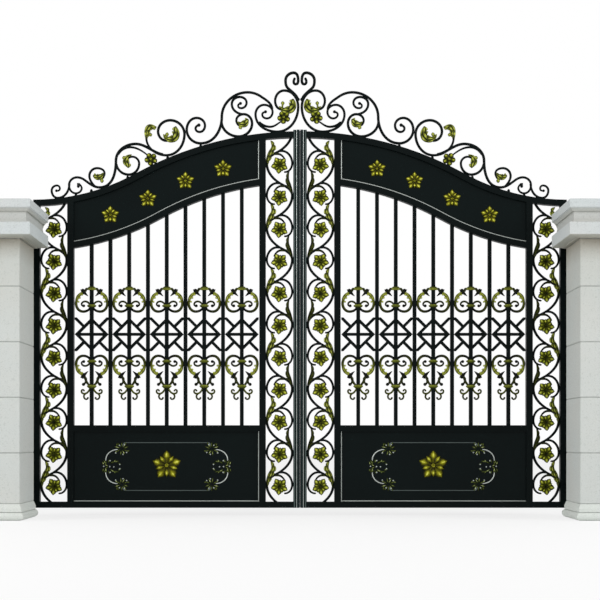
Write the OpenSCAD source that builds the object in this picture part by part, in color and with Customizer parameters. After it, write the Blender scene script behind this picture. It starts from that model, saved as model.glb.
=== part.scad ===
// Double garden gate: two cast and welded aluminium leaves hung behind stone pillars.
// X runs along the gate, Y from the front to the back, Z up.
// The origin is the middle of the left pillar's foot.

/* [Gateway] */
// Clear width between the two pillar shafts
gateway_w = 3940; // [3800:10:4200]
// Gap between the two leaves where they meet
meeting_gap = 5; // [5:1:8]
// Height of the leaves' lower edge above the ground
ground_gap = 60; // [40:5:90]
// How far each leaf reaches behind its pillar
lap = 26; // [20:1:34]

/* [Leaf frame] */
// Height of a leaf at its hinge edge
shoulder_h = 2306; // [2250:2:2360]
// Height of a leaf at its meeting edge
crest_h = 2818; // [2780:2:2860]
// Share of the top rail's sweep that belongs to the upper, domed arc
dome_share = 0.615; // [0.58:0.005:0.65]
// Width of the hinge stile and the two panel stiles
stile_w = 48; // [44:1:54]
// Width of the meeting stile
meeting_w = 48; // [44:1:54]
// Height of the top and bottom rails
rail_h = 45; // [40:1:50]
// Height of the middle rail and of the arched rail
inner_rail_h = 46; // [40:1:50]
// Front to back depth of stiles and rails
frame_t = 50; // [44:1:60]
// Width of each narrow bay that holds a vine
vine_bay_w = 206; // [196:1:216]

/* [Panels and pickets] */
// Height of the closed panel under the top rail
arch_panel_h = 293; // [270:1:310]
// Height of the closed panel at the foot of the leaf
foot_panel_h = 527; // [480:1:560]
// Thickness of both panels
panel_t = 12; // [8:1:16]
// Number of pickets in a leaf
picket_count = 9; // [7:2:9]
// Width of a picket
picket_w = 28; // [24:1:32]
// Distance of the outermost pickets from the stiles, as a share of their pitch
end_share = 0.938; // [0.92:0.005:0.98]
// Share of the pickets' height that lies below the diamonds' centre line
diamond_share = 0.523; // [0.5:0.001:0.54]
// Width of the diamonds' bars
diamond_bar = 22; // [16:1:26]
// Front to back depth of diamonds and ornaments
bar_t = 16; // [12:1:20]

/* [Scrollwork] */
// Width of a crown bar
crown_bar = 16; // [14:1:18]
// Width of a vine's stem
vine_bar = 15; // [13:1:17]
// Distance from one vine blossom to the next
vine_pitch = 241; // [236:1:246]
// Height of the lowest blossom above the foot of the leaf
first_blossom_z = 159; // [150:1:170]
// Radius of a vine blossom
blossom_r = 66; // [58:1:70]
// Radius of a crown blossom
crown_blossom_r = 46; // [40:1:50]
// Radius of the large blossom on the foot panel
medallion_r = 112; // [100:1:120]
// Radius of a blossom on the arched panel
panel_blossom_r = 68; // [60:1:72]
// Width of the collars that hold the ornaments to a picket
collar_w = 74; // [66:1:80]
// Height of those collars
collar_h = 28; // [22:1:34]
// Width of the beads on the panels
bead_w = 9; // [7:1:12]

/* [Hinges] */
// Distance from a leaf's edge to the hinge axis
hinge_offset = 24; // [23:1:30]
// Radius of the hinge knuckle
knuckle_r = 18; // [16:1:18]
// Height of the hinge knuckle
knuckle_h = 50; // [40:1:60]
// Radius of the hinge pin
pin_r = 9; // [7:0.5:10]
// Radial clearance of the pin in its knuckle
pin_play = 0.05; // [0.02:0.01:0.1]
// Distance from the pillars' rear face to the hinge axis
hinge_reach = 135; // [130:1:160]

/* [Pillars] */
// Side of the square shaft
shaft_w = 500; // [460:10:540]
// Height of the shaft's foot above the ground
plinth_h = 117; // [100:1:130]
// Height of the shaft's upper end above the ground
shaft_top = 1987; // [1960:1:2020]
// Overhang of the cap beyond the shaft
cap_over = 90; // [80:1:95]
// Overhang of the plinth beyond the shaft
plinth_over = 28; // [20:1:36]
// Height of the cap's lower band
band_h = 103; // [90:1:115]
// Height of the hollow between the cap's band and slab
hollow_h = 100; // [90:1:115]
// Height of the cap's top slab
slab_h = 60; // [50:1:70]
// Height of one course of stone
course_h = 391; // [370:1:410]
// Height of the lowest joint between two courses
first_joint = 476; // [460:1:500]
// Width of the joints between the courses
joint_w = 6; // [4:1:8]

/* [Hidden] */

// Places in the gateway
pillar_cx = gateway_w / 2 + shaft_w / 2;
leaf_y = shaft_w / 2 + hinge_reach;
leaf_w = gateway_w / 2 + lap - meeting_gap / 2;
hinge_u = leaf_w + hinge_offset;
hinge_zs = [250, 1150, 1880];

// The top rail is two tangent arcs, level at both ends
sweep = 2 * atan((crest_h - shoulder_h) / leaf_w);
arc_sum = leaf_w / sin(sweep);
dome_r = arc_sum * dome_share;
dip_r = arc_sum - dome_r;

// Bays of the leaf, measured from its meeting edge
inner_bay = meeting_w;
inner_stile = inner_bay + vine_bay_w;
outer_bay = leaf_w - stile_w - vine_bay_w;
outer_stile = outer_bay - stile_w;
picket_bay = inner_stile + stile_w;
panel_mid = (picket_bay + outer_stile) / 2;
picket_pitch = (outer_stile - picket_bay) / (picket_count - 1 + 2 * end_share);
middle_rail_z = rail_h + foot_panel_h;
picket_foot = middle_rail_z + inner_rail_h;
arch_drop = rail_h + arch_panel_h;
picket_drop = arch_drop + inner_rail_h;
picket_room = shoulder_h - picket_drop - picket_foot;

// Diamonds and the ornaments above and below them, which shrink with the pitch and the room
diamond_v = picket_foot + picket_room * diamond_share;
diamond_reach = picket_pitch - picket_w / 2;
drawn_pitch = 140.7;
drawn_room = 1304;
ornament_scale = min(picket_pitch / drawn_pitch, picket_room / drawn_room);
lower_ornament_v = diamond_v - diamond_reach - 76 * ornament_scale;
upper_ornament_v = diamond_v + diamond_reach + 86 * ornament_scale;
upper_stem = 132;
lower_stem = 190;

// Vines, in the middle of their bays
bay_half = vine_bay_w / 2;
vine_reach = bay_half - vine_bar / 2;
inner_vine_u = inner_bay + bay_half;
outer_vine_u = outer_bay + bay_half;
vine_top_room = 150;
joint_low = 0.556 * vine_pitch;
petal_turn = -83;
inner_whorl = 0.66;
blossom_t = 36;

// The crown is drawn for this leaf width, and scales with the leaf
crown_run = 1993.5;
crown_scale = leaf_w / crown_run;
crown_edge = crown_bar / 2 + 1;
crown_seat = crown_bar / 2 - 2;
crown_blossom_at = [[119, 112, 0], [1115, 53, 0]];

// Blossoms and beads on the panels
rosette_t = 10;
bead_t = 12;
line_reach = 0.219 * (outer_stile - picket_bay);
line_rise = 0.34 * foot_panel_h;
line_mid_v = rail_h + foot_panel_h / 2;
medallion_v = line_mid_v + 9;
corner_spray_r = 50;
end_spray_r = 62;

// Longest straight step in a scroll and along the rail's sweep
bend_step = 30;
sweep_step = 80;
blade_steps = 5;
fillet_r = 3;
$fn = 40;

// Height of the top rail's upper edge at a distance u from the meeting edge, lowered by t
function rail_v(u, t = 0) =
    u <= (dome_r - t) * sin(sweep)
        ? crest_h - dome_r + sqrt(pow(dome_r - t, 2) - u * u)
        : shoulder_h + dip_r - sqrt(pow(dip_r + t, 2) - pow(leaf_w - u, 2));

// Points of that line, the same for every piece that follows it
function rail_line(t) =
    let (steps = ceil(leaf_w / sweep_step))
    [for (i = [0 : steps]) let (u = leaf_w * i / steps) [u, rail_v(u, t)]];

function backwards(list) = [for (i = [len(list) - 1 : -1 : 0]) list[i]];

function unit(angle) = [cos(angle), sin(angle)];

// Length of a bend's handle, from the chord and the angle between chord and heading
function handle(chord, angle) =
    let (turn = acos(max(-1, min(1, chord * unit(angle) / norm(chord)))))
    norm(chord) / (3 * pow(cos(turn / 2), 2));

// Point and normal at share t of the bend between two stations [u, v, heading]
function bend(a, b, t) =
    let (
        p = [a.x, a.y],
        q = [b.x, b.y],
        c = p + unit(a.z) * handle(q - p, a.z),
        d = q - unit(b.z) * handle(q - p, b.z),
        s = 1 - t,
        at = s * s * s * p + 3 * s * s * t * c + 3 * s * t * t * d + t * t * t * q,
        along = s * s * (c - p) + 2 * s * t * (d - c) + t * t * (q - d)
    )
    [at.x, at.y, -along.y / norm(along), along.x / norm(along)];

function bend_count(a, b) = min(8, max(2, ceil(norm([b.x - a.x, b.y - a.y]) / bend_step)));

function trace(stations) = [
    for (i = [0 : len(stations) - 2])
        let (a = stations[i], b = stations[i + 1], n = bend_count(a, b))
            for (k = [(i == 0 ? 0 : 1) : n]) bend(a, b, k / n)
];

function offset_line(line, w0, w1, side) = [
    for (i = [0 : len(line) - 1])
        let (half = side * (w0 + (w1 - w0) * i / (len(line) - 1)) / 2)
        [line[i].x + line[i][2] * half, line[i].y + line[i][3] * half]
];

// A bar that follows its stations, with its width running from w0 to w1 and rounded ends
module scroll(stations, w0, w1, knob = 1) {
    line = trace(stations);
    last = line[len(line) - 1];
    polygon(concat(offset_line(line, w0, w1, 1), backwards(offset_line(line, w0, w1, -1))));
    translate([line[0].x, line[0].y]) circle(d = w0, $fn = 10);
    translate([last.x, last.y]) circle(d = w1 * knob, $fn = 10);
}

// A leaf blade along one bend, widest in its middle
module blade(a, b, w) {
    line = [for (k = [0 : blade_steps]) bend(a, b, k / blade_steps)];
    polygon(concat(
        [for (k = [0 : blade_steps]) blade_edge(line[k], w * sin(180 * k / blade_steps) + 3, 1)],
        [for (k = [blade_steps : -1 : 0]) blade_edge(line[k], w * sin(180 * k / blade_steps) + 3, -1)]
    ));
}

function blade_edge(p, w, side) = [p.x + side * p[2] * w / 2, p.y + side * p[3] * w / 2];

// Fills the sharp inner corners where bars run together
module melted() {
    offset(delta = -fillet_r) offset(delta = fillet_r) children();
}

// Stands a drawing of the leaf up, with its depth centred on y
module upright(depth, y = 0) {
    translate([0, y + depth / 2, 0]) rotate([90, 0, 0]) linear_extrude(depth) children();
}

// Puts a leaf's piece into the gateway, right as drawn or left as its mirror image
module in_gateway(side) {
    translate([pillar_cx, leaf_y, ground_gap])
        if (side < 0) mirror([1, 0, 0]) translate([meeting_gap / 2, 0, 0]) children();
        else translate([meeting_gap / 2, 0, 0]) children();
}

// Strip that follows the top rail between two distances, from drop t0 to drop t1
module swept_strip(u0, u1, t0, t1) {
    intersection() {
        polygon(concat(rail_line(t0), backwards(rail_line(t1))));
        translate([u0, 0]) square([u1 - u0, crest_h + 1]);
    }
}

// Everything from height v0 up to the swept line at drop t
module under_sweep(u0, u1, v0, t) {
    intersection() {
        polygon(concat([[leaf_w, 0], [0, 0]], rail_line(t)));
        translate([u0, v0]) square([u1 - u0, crest_h]);
    }
}

// A lens-shaped petal on the x axis, from r0 to r1
module petal(r0, r1, w) {
    len = r1 - r0;
    arc_r = (len * len + w * w) / (4 * w);
    intersection() {
        translate([(r0 + r1) / 2, arc_r - w / 2]) circle(arc_r, $fn = 96);
        translate([(r0 + r1) / 2, w / 2 - arc_r]) circle(arc_r, $fn = 96);
    }
}

module petals(r, turn) {
    for (i = [0 : 4]) rotate(turn + 72 * i) petal(0.12 * r, r, 0.62 * r);
    circle(0.3 * r);
}

// Outline of a blossom's two whorls
module whorls(r) {
    petals(r, petal_turn);
    petals(inner_whorl * r, petal_turn + 36);
}

// A five-petalled blossom with an inner whorl and an eye, the same from both sides
module blossom(r) {
    upright(blossom_t * 0.5) petals(r, petal_turn);
    upright(blossom_t * 0.8) petals(inner_whorl * r, petal_turn + 36);
    upright(blossom_t) circle(0.2 * r);
}

/* Pillars */

// A square block whose four sides all have the profile [half width, height], with mitred corners
module moulded(profile) {
    wide = max([for (p = profile) p.x]) + 1;
    outline = concat([for (p = profile) [p.x, p.y]], backwards([for (p = profile) [-p.x, p.y]]));
    intersection() {
        translate([0, wide, 0]) rotate([90, 0, 0]) linear_extrude(2 * wide) polygon(outline);
        translate([-wide, 0, 0]) rotate([90, 0, 90]) linear_extrude(2 * wide) polygon(outline);
    }
}

module plinth() {
    half = shaft_w / 2;
    torus_r = plinth_h / 4;
    step = plinth_h * 0.74;
    round = [
        for (a = [-90 : 22.5 : 90])
            [half + plinth_over - torus_r + torus_r * cos(a), torus_r + torus_r * sin(a)]
    ];
    color([0.80, 0.83, 0.80]) moulded(concat(
        round,
        [[half + plinth_over * 0.45, 2 * torus_r], [half + plinth_over * 0.45, step], [half, plinth_h]]
    ));
}

module shaft() {
    half = shaft_w / 2;
    joints = [for (z = [first_joint : course_h : shaft_top - course_h / 3]) z];
    groove = [
        for (z = joints)
            for (p = [[0, -joint_w / 2], [-joint_w / 2, 0], [0, joint_w / 2]])
                [half + p.x, z + p.y]
    ];
    color([0.80, 0.83, 0.80]) moulded(concat([[half, plinth_h]], groove, [[half, shaft_top]]));
}

module cap() {
    half = shaft_w / 2;
    wide = half + cap_over;
    neck = wide - hollow_h / 4;
    hollow_z = shaft_top + band_h;
    slab_z = hollow_z + hollow_h;
    color([0.84, 0.87, 0.89]) moulded([
        [half, shaft_top],
        [half + cap_over * 0.25, shaft_top],
        [wide, shaft_top + band_h * 0.12],
        [wide, hollow_z],
        [neck, hollow_z + hollow_h * 0.12],
        [neck, slab_z - hollow_h * 0.22],
        [wide - cap_over * 0.08, slab_z],
        [wide, slab_z],
        [wide, slab_z + slab_h],
    ]);
}

module pillar_place(side) {
    translate([side < 0 ? 0 : 2 * pillar_cx, 0, 0]) children();
}

// Wall plate, arm and pin of every hinge on one pillar
module hinge_pins(side) {
    color([0.07, 0.10, 0.10])
        translate([pillar_cx + side * (meeting_gap / 2 + hinge_u), 0, 0])
            for (z = hinge_zs) translate([0, 0, z]) hinge_pin();
}

module hinge_pin() {
    arm_t = 22;
    plate_t = 10;
    plate_w = 80;
    plate_h = 130;
    seat = 0.3;
    head_r = 14;
    rear = shaft_w / 2;
    translate([-plate_w / 2, rear, -arm_t - plate_h / 2]) cube([plate_w, plate_t, plate_h]);
    translate([-knuckle_r, rear + plate_t / 2, -arm_t])
        cube([2 * knuckle_r, leaf_y - rear - plate_t / 2, arm_t - seat]);
    translate([0, leaf_y, -arm_t]) cylinder(h = arm_t - seat, r = knuckle_r);
    translate([0, leaf_y, -arm_t]) cylinder(h = arm_t + knuckle_h + seat + 1, r = pin_r);
    translate([0, leaf_y, knuckle_h + seat]) cylinder(h = 6, r = head_r);
}

/* Leaf frame */

module stiles() {
    color([0.07, 0.10, 0.10]) {
        upright(frame_t) under_sweep(leaf_w - stile_w, leaf_w, 0, rail_h);
        upright(frame_t) under_sweep(outer_stile, outer_stile + stile_w, rail_h, rail_h);
        upright(frame_t) under_sweep(inner_stile, inner_stile + stile_w, rail_h, rail_h);
    }
}

// The meeting stile carries one half of the raised middle moulding
module meeting_stile() {
    raised = 0.45 * meeting_w;
    bevel = 3;
    rise = 10;
    half = frame_t / 2;
    color([0.12, 0.16, 0.17]) linear_extrude(crest_h + rise) polygon([
        [0, half], [meeting_w, half], [meeting_w, -half], [raised + bevel, -half],
        [raised, -half - bevel], [raised - bevel, -half - rise], [0, -half - rise],
    ]);
}

module top_rail() {
    color([0.07, 0.10, 0.10]) upright(frame_t) swept_strip(meeting_w, leaf_w, 0, rail_h);
}

// Bottom, middle and arched rail
module rails() {
    color([0.07, 0.10, 0.10]) {
        upright(frame_t) translate([meeting_w, 0]) square([leaf_w - stile_w - meeting_w, rail_h]);
        upright(frame_t) translate([picket_bay, middle_rail_z])
            square([outer_stile - picket_bay, inner_rail_h]);
        upright(frame_t) swept_strip(picket_bay, outer_stile, arch_drop, picket_drop);
    }
}

module arch_panel() {
    color([0.06, 0.09, 0.09]) upright(panel_t)
        swept_strip(picket_bay, outer_stile, rail_h, arch_drop);
}

module foot_panel() {
    color([0.06, 0.09, 0.09]) upright(panel_t) translate([picket_bay, rail_h])
        square([outer_stile - picket_bay, foot_panel_h]);
}

/* Pickets and what they carry */

// Distance of picket i from the meeting edge, counted from 1
function picket_u(i) = panel_mid + (i - (picket_count + 1) / 2) * picket_pitch;

module picket_drawing(i) {
    under_sweep(picket_u(i) - picket_w / 2, picket_u(i) + picket_w / 2, picket_foot, picket_drop);
}

module pickets() {
    color([0.07, 0.10, 0.10]) upright(picket_w)
        for (i = [1 : picket_count]) picket_drawing(i);
}

// One diamond in its square cell, with a bar in each corner and one across
module diamond() {
    reach = diamond_reach;
    inner = reach - diamond_bar * sqrt(2);
    difference() {
        union() {
            difference() {
                rotate(45) square(reach * sqrt(2), center = true);
                rotate(45) square(inner * sqrt(2), center = true);
            }
            square([2 * inner + diamond_bar, diamond_bar], center = true);
            intersection() {
                square(2 * reach, center = true);
                for (a = [45, 135]) rotate(a) difference() {
                    square([2 * reach * sqrt(2), diamond_bar], center = true);
                    square([reach * sqrt(2) - diamond_bar, diamond_bar + 1], center = true);
                }
            }
        }
        square([picket_w, 3 * reach], center = true);
    }
}

module diamonds() {
    color([0.07, 0.10, 0.10]) upright(bar_t)
        for (i = [1 : 2 : picket_count]) translate([picket_u(i), diamond_v]) diamond();
}

// Two-sided copy of a drawing about a picket's axis
module both_sides() {
    children();
    mirror([1, 0]) children();
}

// Ring, small spiral, spur and leaf lobes of a picket ornament
module ring_scroll() {
    scroll([[10, 14, 70], [68, 42, 0], [115, -19, 270], [60, -106, 222]], 9, 13);
    scroll([[10, -8, 300], [50, -32, 0], [73, -14, 90], [66, -5, 190]], 7, 8, 1.4);
    polygon([[82, -122], [20, -66], [62, -94], [90, -116]]);
    for (p = [[98, -34], [92, -54], [80, -72]]) translate(p) circle(10, $fn = 8);
}

module ornament_stem(length) {
    scroll([[60, -104, 235], [46, -length * 0.72, 285], [12, -length, 290]], 12, 8);
}

module ornament_tails() {
    scroll([[48, -140, 280], [66, -180, 0], [73, -166, 100]], 11, 9, 1.7);
    scroll([[10, -204, 290], [47, -236, 330], [74, -220, 90], [62, -211, 180], [54, -216, 250]], 8, 6, 1.2);
    scroll([[40, -228, 330], [55, -260, 270], [40, -282, 180], [28, -272, 80]], 8, 6, 1.3);
}

// Places the first drawing under every second picket's diamond and the second one above it
module at_ornaments() {
    for (i = [1 : 2 : picket_count]) {
        translate([picket_u(i), lower_ornament_v]) scale(ornament_scale) children(0);
        translate([picket_u(i), upper_ornament_v]) scale(ornament_scale) mirror([0, 1]) children(1);
    }
}

module collar_outline() {
    polygon([
        [-collar_w / 2, collar_h * 0.2], [-collar_w * 0.36, collar_h / 2], [collar_w * 0.36, collar_h / 2],
        [collar_w / 2, collar_h * 0.2], [collar_w * 0.36, -collar_h / 2], [-collar_w * 0.36, -collar_h / 2],
    ]);
}

module collar_pair(stem) {
    collar_outline();
    translate([0, -stem]) collar_outline();
}

module picket_scrolls() {
    color([0.12, 0.14, 0.07]) upright(bar_t) difference() {
        melted() at_ornaments() {
            both_sides() {
                ring_scroll();
                ornament_stem(lower_stem);
                ornament_tails();
            }
            both_sides() {
                ring_scroll();
                ornament_stem(upper_stem);
            }
        }
        at_ornaments() {
            collar_pair(lower_stem);
            collar_pair(upper_stem);
        }
        for (i = [1 : picket_count]) picket_drawing(i);
    }
}

// Collars close around their pickets
module collars() {
    color([0.55, 0.56, 0.14]) difference() {
        upright(picket_w + 16) at_ornaments() {
            collar_pair(lower_stem);
            collar_pair(upper_stem);
        }
        upright(picket_w) for (i = [1 : 2 : picket_count]) picket_drawing(i);
    }
}

/* Vines */

// How many blossoms fit in the bay around the distance u
function vine_count(u) =
    floor((rail_v(u, rail_h) - first_blossom_z - vine_top_room) / vine_pitch) + 1;

module vine_stem() {
    scroll([
        [0, -joint_low, 32], [vine_reach, 12, 90], [0, vine_pitch - joint_low, 148],
    ], vine_bar, vine_bar);
}

// A place in a vine's module, as shares of its reach and its pitch
function in_vine(x, y, heading) = [x * vine_reach, y * vine_pitch, heading];

module vine_branches() {
    scroll([in_vine(-0.04, 0.436, 170), in_vine(-1, 0.058, 270), in_vine(-0.42, -0.216, 0)], 13, 11);
    scroll([in_vine(0.84, 0.257, 115), in_vine(0.16, 0.349, 180), in_vine(-0.42, 0.174, 245)], 14, 9);
}

function blossom_heights(u) =
    [for (k = [0 : vine_count(u) - 1]) first_blossom_z + k * vine_pitch];

module at_vine_blossoms(u) {
    for (v = blossom_heights(u)) translate([u, v]) children();
}

// Runs a drawing up a bay, turned over at every second blossom
module along_vine(u, extra = 0) {
    for (k = [0 : vine_count(u) - 1 + extra])
        translate([u, first_blossom_z + k * vine_pitch])
            if (k % 2 == 0) children();
            else mirror([1, 0]) children();
}

module vine_bay(u) {
    intersection() {
        under_sweep(u - bay_half, u + bay_half, rail_h, rail_h);
        children();
    }
}

module vine_leaves(u) {
    melted() along_vine(u) {
        blade(in_vine(0.98, 0.083, 97), in_vine(0.63, 0.531, 100), 24);
        blade(in_vine(0.67, 0.465, 100), in_vine(0.73, 0.772, 80), 24);
    }
}

module vine(u) {
    vine_bay(u) difference() {
        melted() {
            along_vine(u, 1) vine_stem();
            along_vine(u) vine_branches();
        }
        at_vine_blossoms(u) whorls(blossom_r);
        vine_leaves(u);
    }
}

module vines() {
    color([0.05, 0.06, 0.05]) upright(bar_t) {
        vine(inner_vine_u);
        vine(outer_vine_u);
    }
}

/* Crown */

// A place on the crown, from its distance to the meeting edge and its height above the rail
function on_crown(p) =
    let (u = p.x * crown_scale)
    [u, rail_v(u) + p.y * crown_scale, p.z];

module crown_scroll(stations, w0 = crown_bar, w1 = crown_bar, knob = 1) {
    scroll([for (p = stations) on_crown(p)], w0 * crown_scale, w1 * crown_scale, knob);
}

module crown_lines() {
    // Half of the heart
    crown_scroll([
        [38, 400, 302], [28, 358, 180], [crown_edge, 386, 90], [45, 447, 0],
        [106, 388, 270], [90, 332, 225], [crown_edge, 244, 250],
    ], 16, 16, 1.2);
    // Teardrop with its inner hook and the spiral it ends in
    crown_scroll([
        [142, 174, 10], [184, 239, 90], [115, 313, 180], [crown_edge, 188, 270], [169, crown_seat, 0],
        [331, 153, 90], [266, 217, 180], [203, 158, 270], [246, 113, 0], [281, 147, 90], [256, 164, 160],
    ], 14, 13, 1.3);
    crown_scroll([[300, 88, 225], [221, 48, 180], [134, 85, 150]], 16, 10);
    // Great arch that falls into the second spiral
    crown_scroll([
        [206, 185, 80], [289, 281, 35], [390, 327, 0], [584, 179, 270], [742, crown_seat + 18, 0],
        [847, 162, 90], [772, 225, 180], [710, 148, 270], [751, 113, 0], [781, 149, 90], [756, 166, 160],
    ], 12, 13, 1.2);
    // Ring under the arch and the curl that rises from it
    crown_scroll([
        [586, 150, 270], [458, crown_seat, 180], [357, 89, 90],
        [420, 168, 0], [475, 130, 270], [460, 94, 225],
    ]);
    crown_scroll([
        [418, 167, 0], [509, 261, 90], [448, 302, 180], [398, 250, 270],
        [439, 216, 0], [462, 238, 90], [444, 253, 160],
    ], 16, 12, 1.3);
    // Great ring with its outer hook
    crown_scroll([
        [998, 138, 0], [1062, 236, 90], [971, 280, 180], [864, 134, 270],
        [1001, 30, 0], [1150, 233, 90], [1144, 264, 110],
    ]);
    // Long sweep that runs down the rail into the next ring
    crown_scroll([
        [1030, 50, 10], [1230, 227, 0], [1378, 170, 270], [1501, 18, 0], [1616, 108, 35],
        [1669, 138, 0], [1730, 90, 270], [1678, 20, 180], [1634, 52, 90], [1660, 68, 250],
    ], 18, 14);
    crown_scroll([
        [1374, 142, 260], [1282, 24, 180], [1204, 66, 90], [1256, 145, 0], [1294, 149, 330],
    ], 16, 12);
    crown_scroll([[1360, 214, 120], [1271, 224, 180], [1139, 94, 218]], 16, 10);
    // Small ring and the end scroll
    crown_scroll([
        [1534, 35, 45], [1577, 127, 90], [1519, 168, 180], [1463, 109, 270], [1475, 80, 300],
    ], 14, 14);
    crown_scroll([
        [1727, 101, 270], [1815, crown_seat, 0], [1860, 67, 90],
        [1819, 101, 180], [1798, 74, 270], [1824, 62, 10],
    ], 15, 12, 1.2);
    // Feet that carry the crown on the rail, [distance to the meeting edge, height]
    for (foot = [[1562, 14], [990, 12], [742, 10], [1290, 10], [1678, 10]])
        let (at = on_crown([foot.x, foot.y / 2, 0]))
            translate([at.x, at.y]) square([24, foot.y + 16] * crown_scale, center = true);
}

module crown_leaf(root, tip, w) {
    blade(on_crown(root), on_crown(tip), w * crown_scale);
}

module crown_leaves() {
    crown_leaf([150, 172, 215], [46, 246, 100], 40);
    crown_leaf([465, 96, 230], [392, 112, 150], 34);
    crown_leaf([1006, 138, 180], [930, 218, 100], 44);
    crown_leaf([1147, 250, 100], [1080, 275, 160], 24);
    crown_leaf([1288, 152, 330], [1292, 84, 270], 34);
    crown_leaf([1477, 88, 300], [1546, 104, 20], 30);
}

// Puts a drawing, or with depth a solid, at the crown's two blossoms
module at_crown_blossoms(depth = false) {
    for (p = crown_blossom_at) let (at = on_crown(p))
        translate(depth ? [at.x, 0, at.y] : [at.x, at.y, 0]) children();
}

module crown() {
    color([0.05, 0.06, 0.05]) upright(bar_t) difference() {
        melted() crown_lines();
        crown_leaves();
        at_crown_blossoms() whorls(crown_blossom_r * crown_scale);
        under_sweep(0, leaf_w, 0, 0);
    }
}

module leaves() {
    color([0.50, 0.52, 0.13]) upright(bar_t + 4) {
        for (u = [inner_vine_u, outer_vine_u]) vine_bay(u) difference() {
            vine_leaves(u);
            at_vine_blossoms(u) whorls(blossom_r);
        }
        difference() {
            crown_leaves();
            under_sweep(0, leaf_w, 0, 0);
        }
    }
}

module blossoms() {
    color([0.60, 0.61, 0.14]) {
        for (u = [inner_vine_u, outer_vine_u])
            for (v = blossom_heights(u)) translate([u, 0, v]) blossom(blossom_r);
        at_crown_blossoms(depth = true) blossom(crown_blossom_r * crown_scale);
    }
}

/* Panel ornaments, on both faces of each panel */

module on_both_faces(depth) {
    upright(depth, -panel_t / 2 - depth / 2) children();
    upright(depth, panel_t / 2 + depth / 2) children();
}

// A flat rosette of two whorls
module rosette(r) {
    on_both_faces(rosette_t) petals(r, 90);
    on_both_faces(rosette_t * 1.7) petals(0.64 * r, 126);
}

// One above every second picket and a large one on the foot panel
module rosettes() {
    mid = rail_h + arch_panel_h * 0.55;
    color([0.60, 0.61, 0.14]) {
        for (i = [2 : 2 : picket_count - 1])
            translate([picket_u(i), 0, rail_v(picket_u(i), mid)]) rosette(panel_blossom_r);
        translate([panel_mid, 0, medallion_v]) rosette(medallion_r);
    }
}

// Narrow leaves around a point
module spray(r, angles) {
    for (a = angles) rotate(a) petal(0.05 * r, r, 0.4 * r);
    circle(0.25 * r, $fn = 12);
}

// Draws the quarter of the foot panel's frame that lies towards the hinge, four times mirrored
module in_four() {
    translate([panel_mid, line_mid_v]) both_sides() {
        children();
        mirror([0, 1]) children();
    }
}

module end_sprays() {
    translate([panel_mid, line_mid_v]) both_sides() translate([line_reach + 1.9 * end_spray_r, 0])
        spray(end_spray_r, [65, 95, 130, 160, 180, 200, 230, 265, 295]);
}

module corner_sprays() {
    in_four() translate([line_reach + 0.74 * corner_spray_r, line_rise - 0.86 * corner_spray_r])
        spray(corner_spray_r, [-95, -45, 10, 65, 120, 200]);
}

// Leaf sprays at the corners and ends of the foot panel's lines
module panel_leaves() {
    color([0.50, 0.52, 0.13]) on_both_faces(rosette_t) {
        corner_sprays();
        end_sprays();
    }
}

// The line above the medallion, and the arc that rounds its corner
module panel_line() {
    scroll([
        [0, line_rise, 0], [line_reach, line_rise, 0], [line_reach + 26, line_rise - 24, 270],
    ], bead_w, bead_w);
    scroll([
        [line_reach + 70, line_rise - 53, 0], [line_reach + 153, line_rise - 125, 270],
    ], bead_w, bead_w);
}

// Beads along the panels' edges and the line around the medallion
module mouldings() {
    color([0.50, 0.55, 0.54]) {
        on_both_faces(bead_t) {
            swept_strip(picket_bay, outer_stile, arch_drop - bead_w, arch_drop);
            swept_strip(picket_bay, picket_bay + bead_w, rail_h, arch_drop);
        }
        on_both_faces(bead_t) translate([picket_bay, rail_h]) {
            square([outer_stile - picket_bay, bead_w]);
            square([bead_w, foot_panel_h]);
        }
        on_both_faces(bead_t / 2) difference() {
            in_four() panel_line();
            corner_sprays();
            end_sprays();
        }
    }
}

/* Hinge side of the leaf */

module hinge_straps() {
    strap_t = 14;
    color([0.07, 0.10, 0.10]) for (z = hinge_zs) translate([hinge_u, 0, z - ground_gap]) difference() {
        union() {
            cylinder(h = knuckle_h, r = knuckle_r);
            translate([-hinge_offset, -strap_t / 2, 0]) cube([hinge_offset, strap_t, knuckle_h]);
        }
        translate([0, 0, -1]) cylinder(h = knuckle_h + 2, r = pin_r + pin_play);
    }
}

pillar_place(-1) plinth();  // left_plinth
pillar_place(-1) shaft();  // left_shaft
pillar_place(-1) cap();  // left_cap
hinge_pins(-1);  // left_hinge_pins
pillar_place(1) plinth();  // right_plinth
pillar_place(1) shaft();  // right_shaft
pillar_place(1) cap();  // right_cap
hinge_pins(1);  // right_hinge_pins
in_gateway(-1) stiles();  // left_stiles
in_gateway(-1) meeting_stile();  // left_meeting_stile
in_gateway(-1) top_rail();  // left_top_rail
in_gateway(-1) rails();  // left_rails
in_gateway(-1) arch_panel();  // left_arch_panel
in_gateway(-1) foot_panel();  // left_foot_panel
in_gateway(-1) pickets();  // left_pickets
in_gateway(-1) diamonds();  // left_diamonds
in_gateway(-1) picket_scrolls();  // left_picket_scrolls
in_gateway(-1) collars();  // left_collars
in_gateway(-1) vines();  // left_vines
in_gateway(-1) leaves();  // left_leaves
in_gateway(-1) blossoms();  // left_blossoms
in_gateway(-1) crown();  // left_crown
in_gateway(-1) rosettes();  // left_rosettes
in_gateway(-1) panel_leaves();  // left_panel_leaves
in_gateway(-1) mouldings();  // left_mouldings
in_gateway(-1) hinge_straps();  // left_hinge_straps
in_gateway(1) stiles();  // right_stiles
in_gateway(1) meeting_stile();  // right_meeting_stile
in_gateway(1) top_rail();  // right_top_rail
in_gateway(1) rails();  // right_rails
in_gateway(1) arch_panel();  // right_arch_panel
in_gateway(1) foot_panel();  // right_foot_panel
in_gateway(1) pickets();  // right_pickets
in_gateway(1) diamonds();  // right_diamonds
in_gateway(1) picket_scrolls();  // right_picket_scrolls
in_gateway(1) collars();  // right_collars
in_gateway(1) vines();  // right_vines
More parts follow.
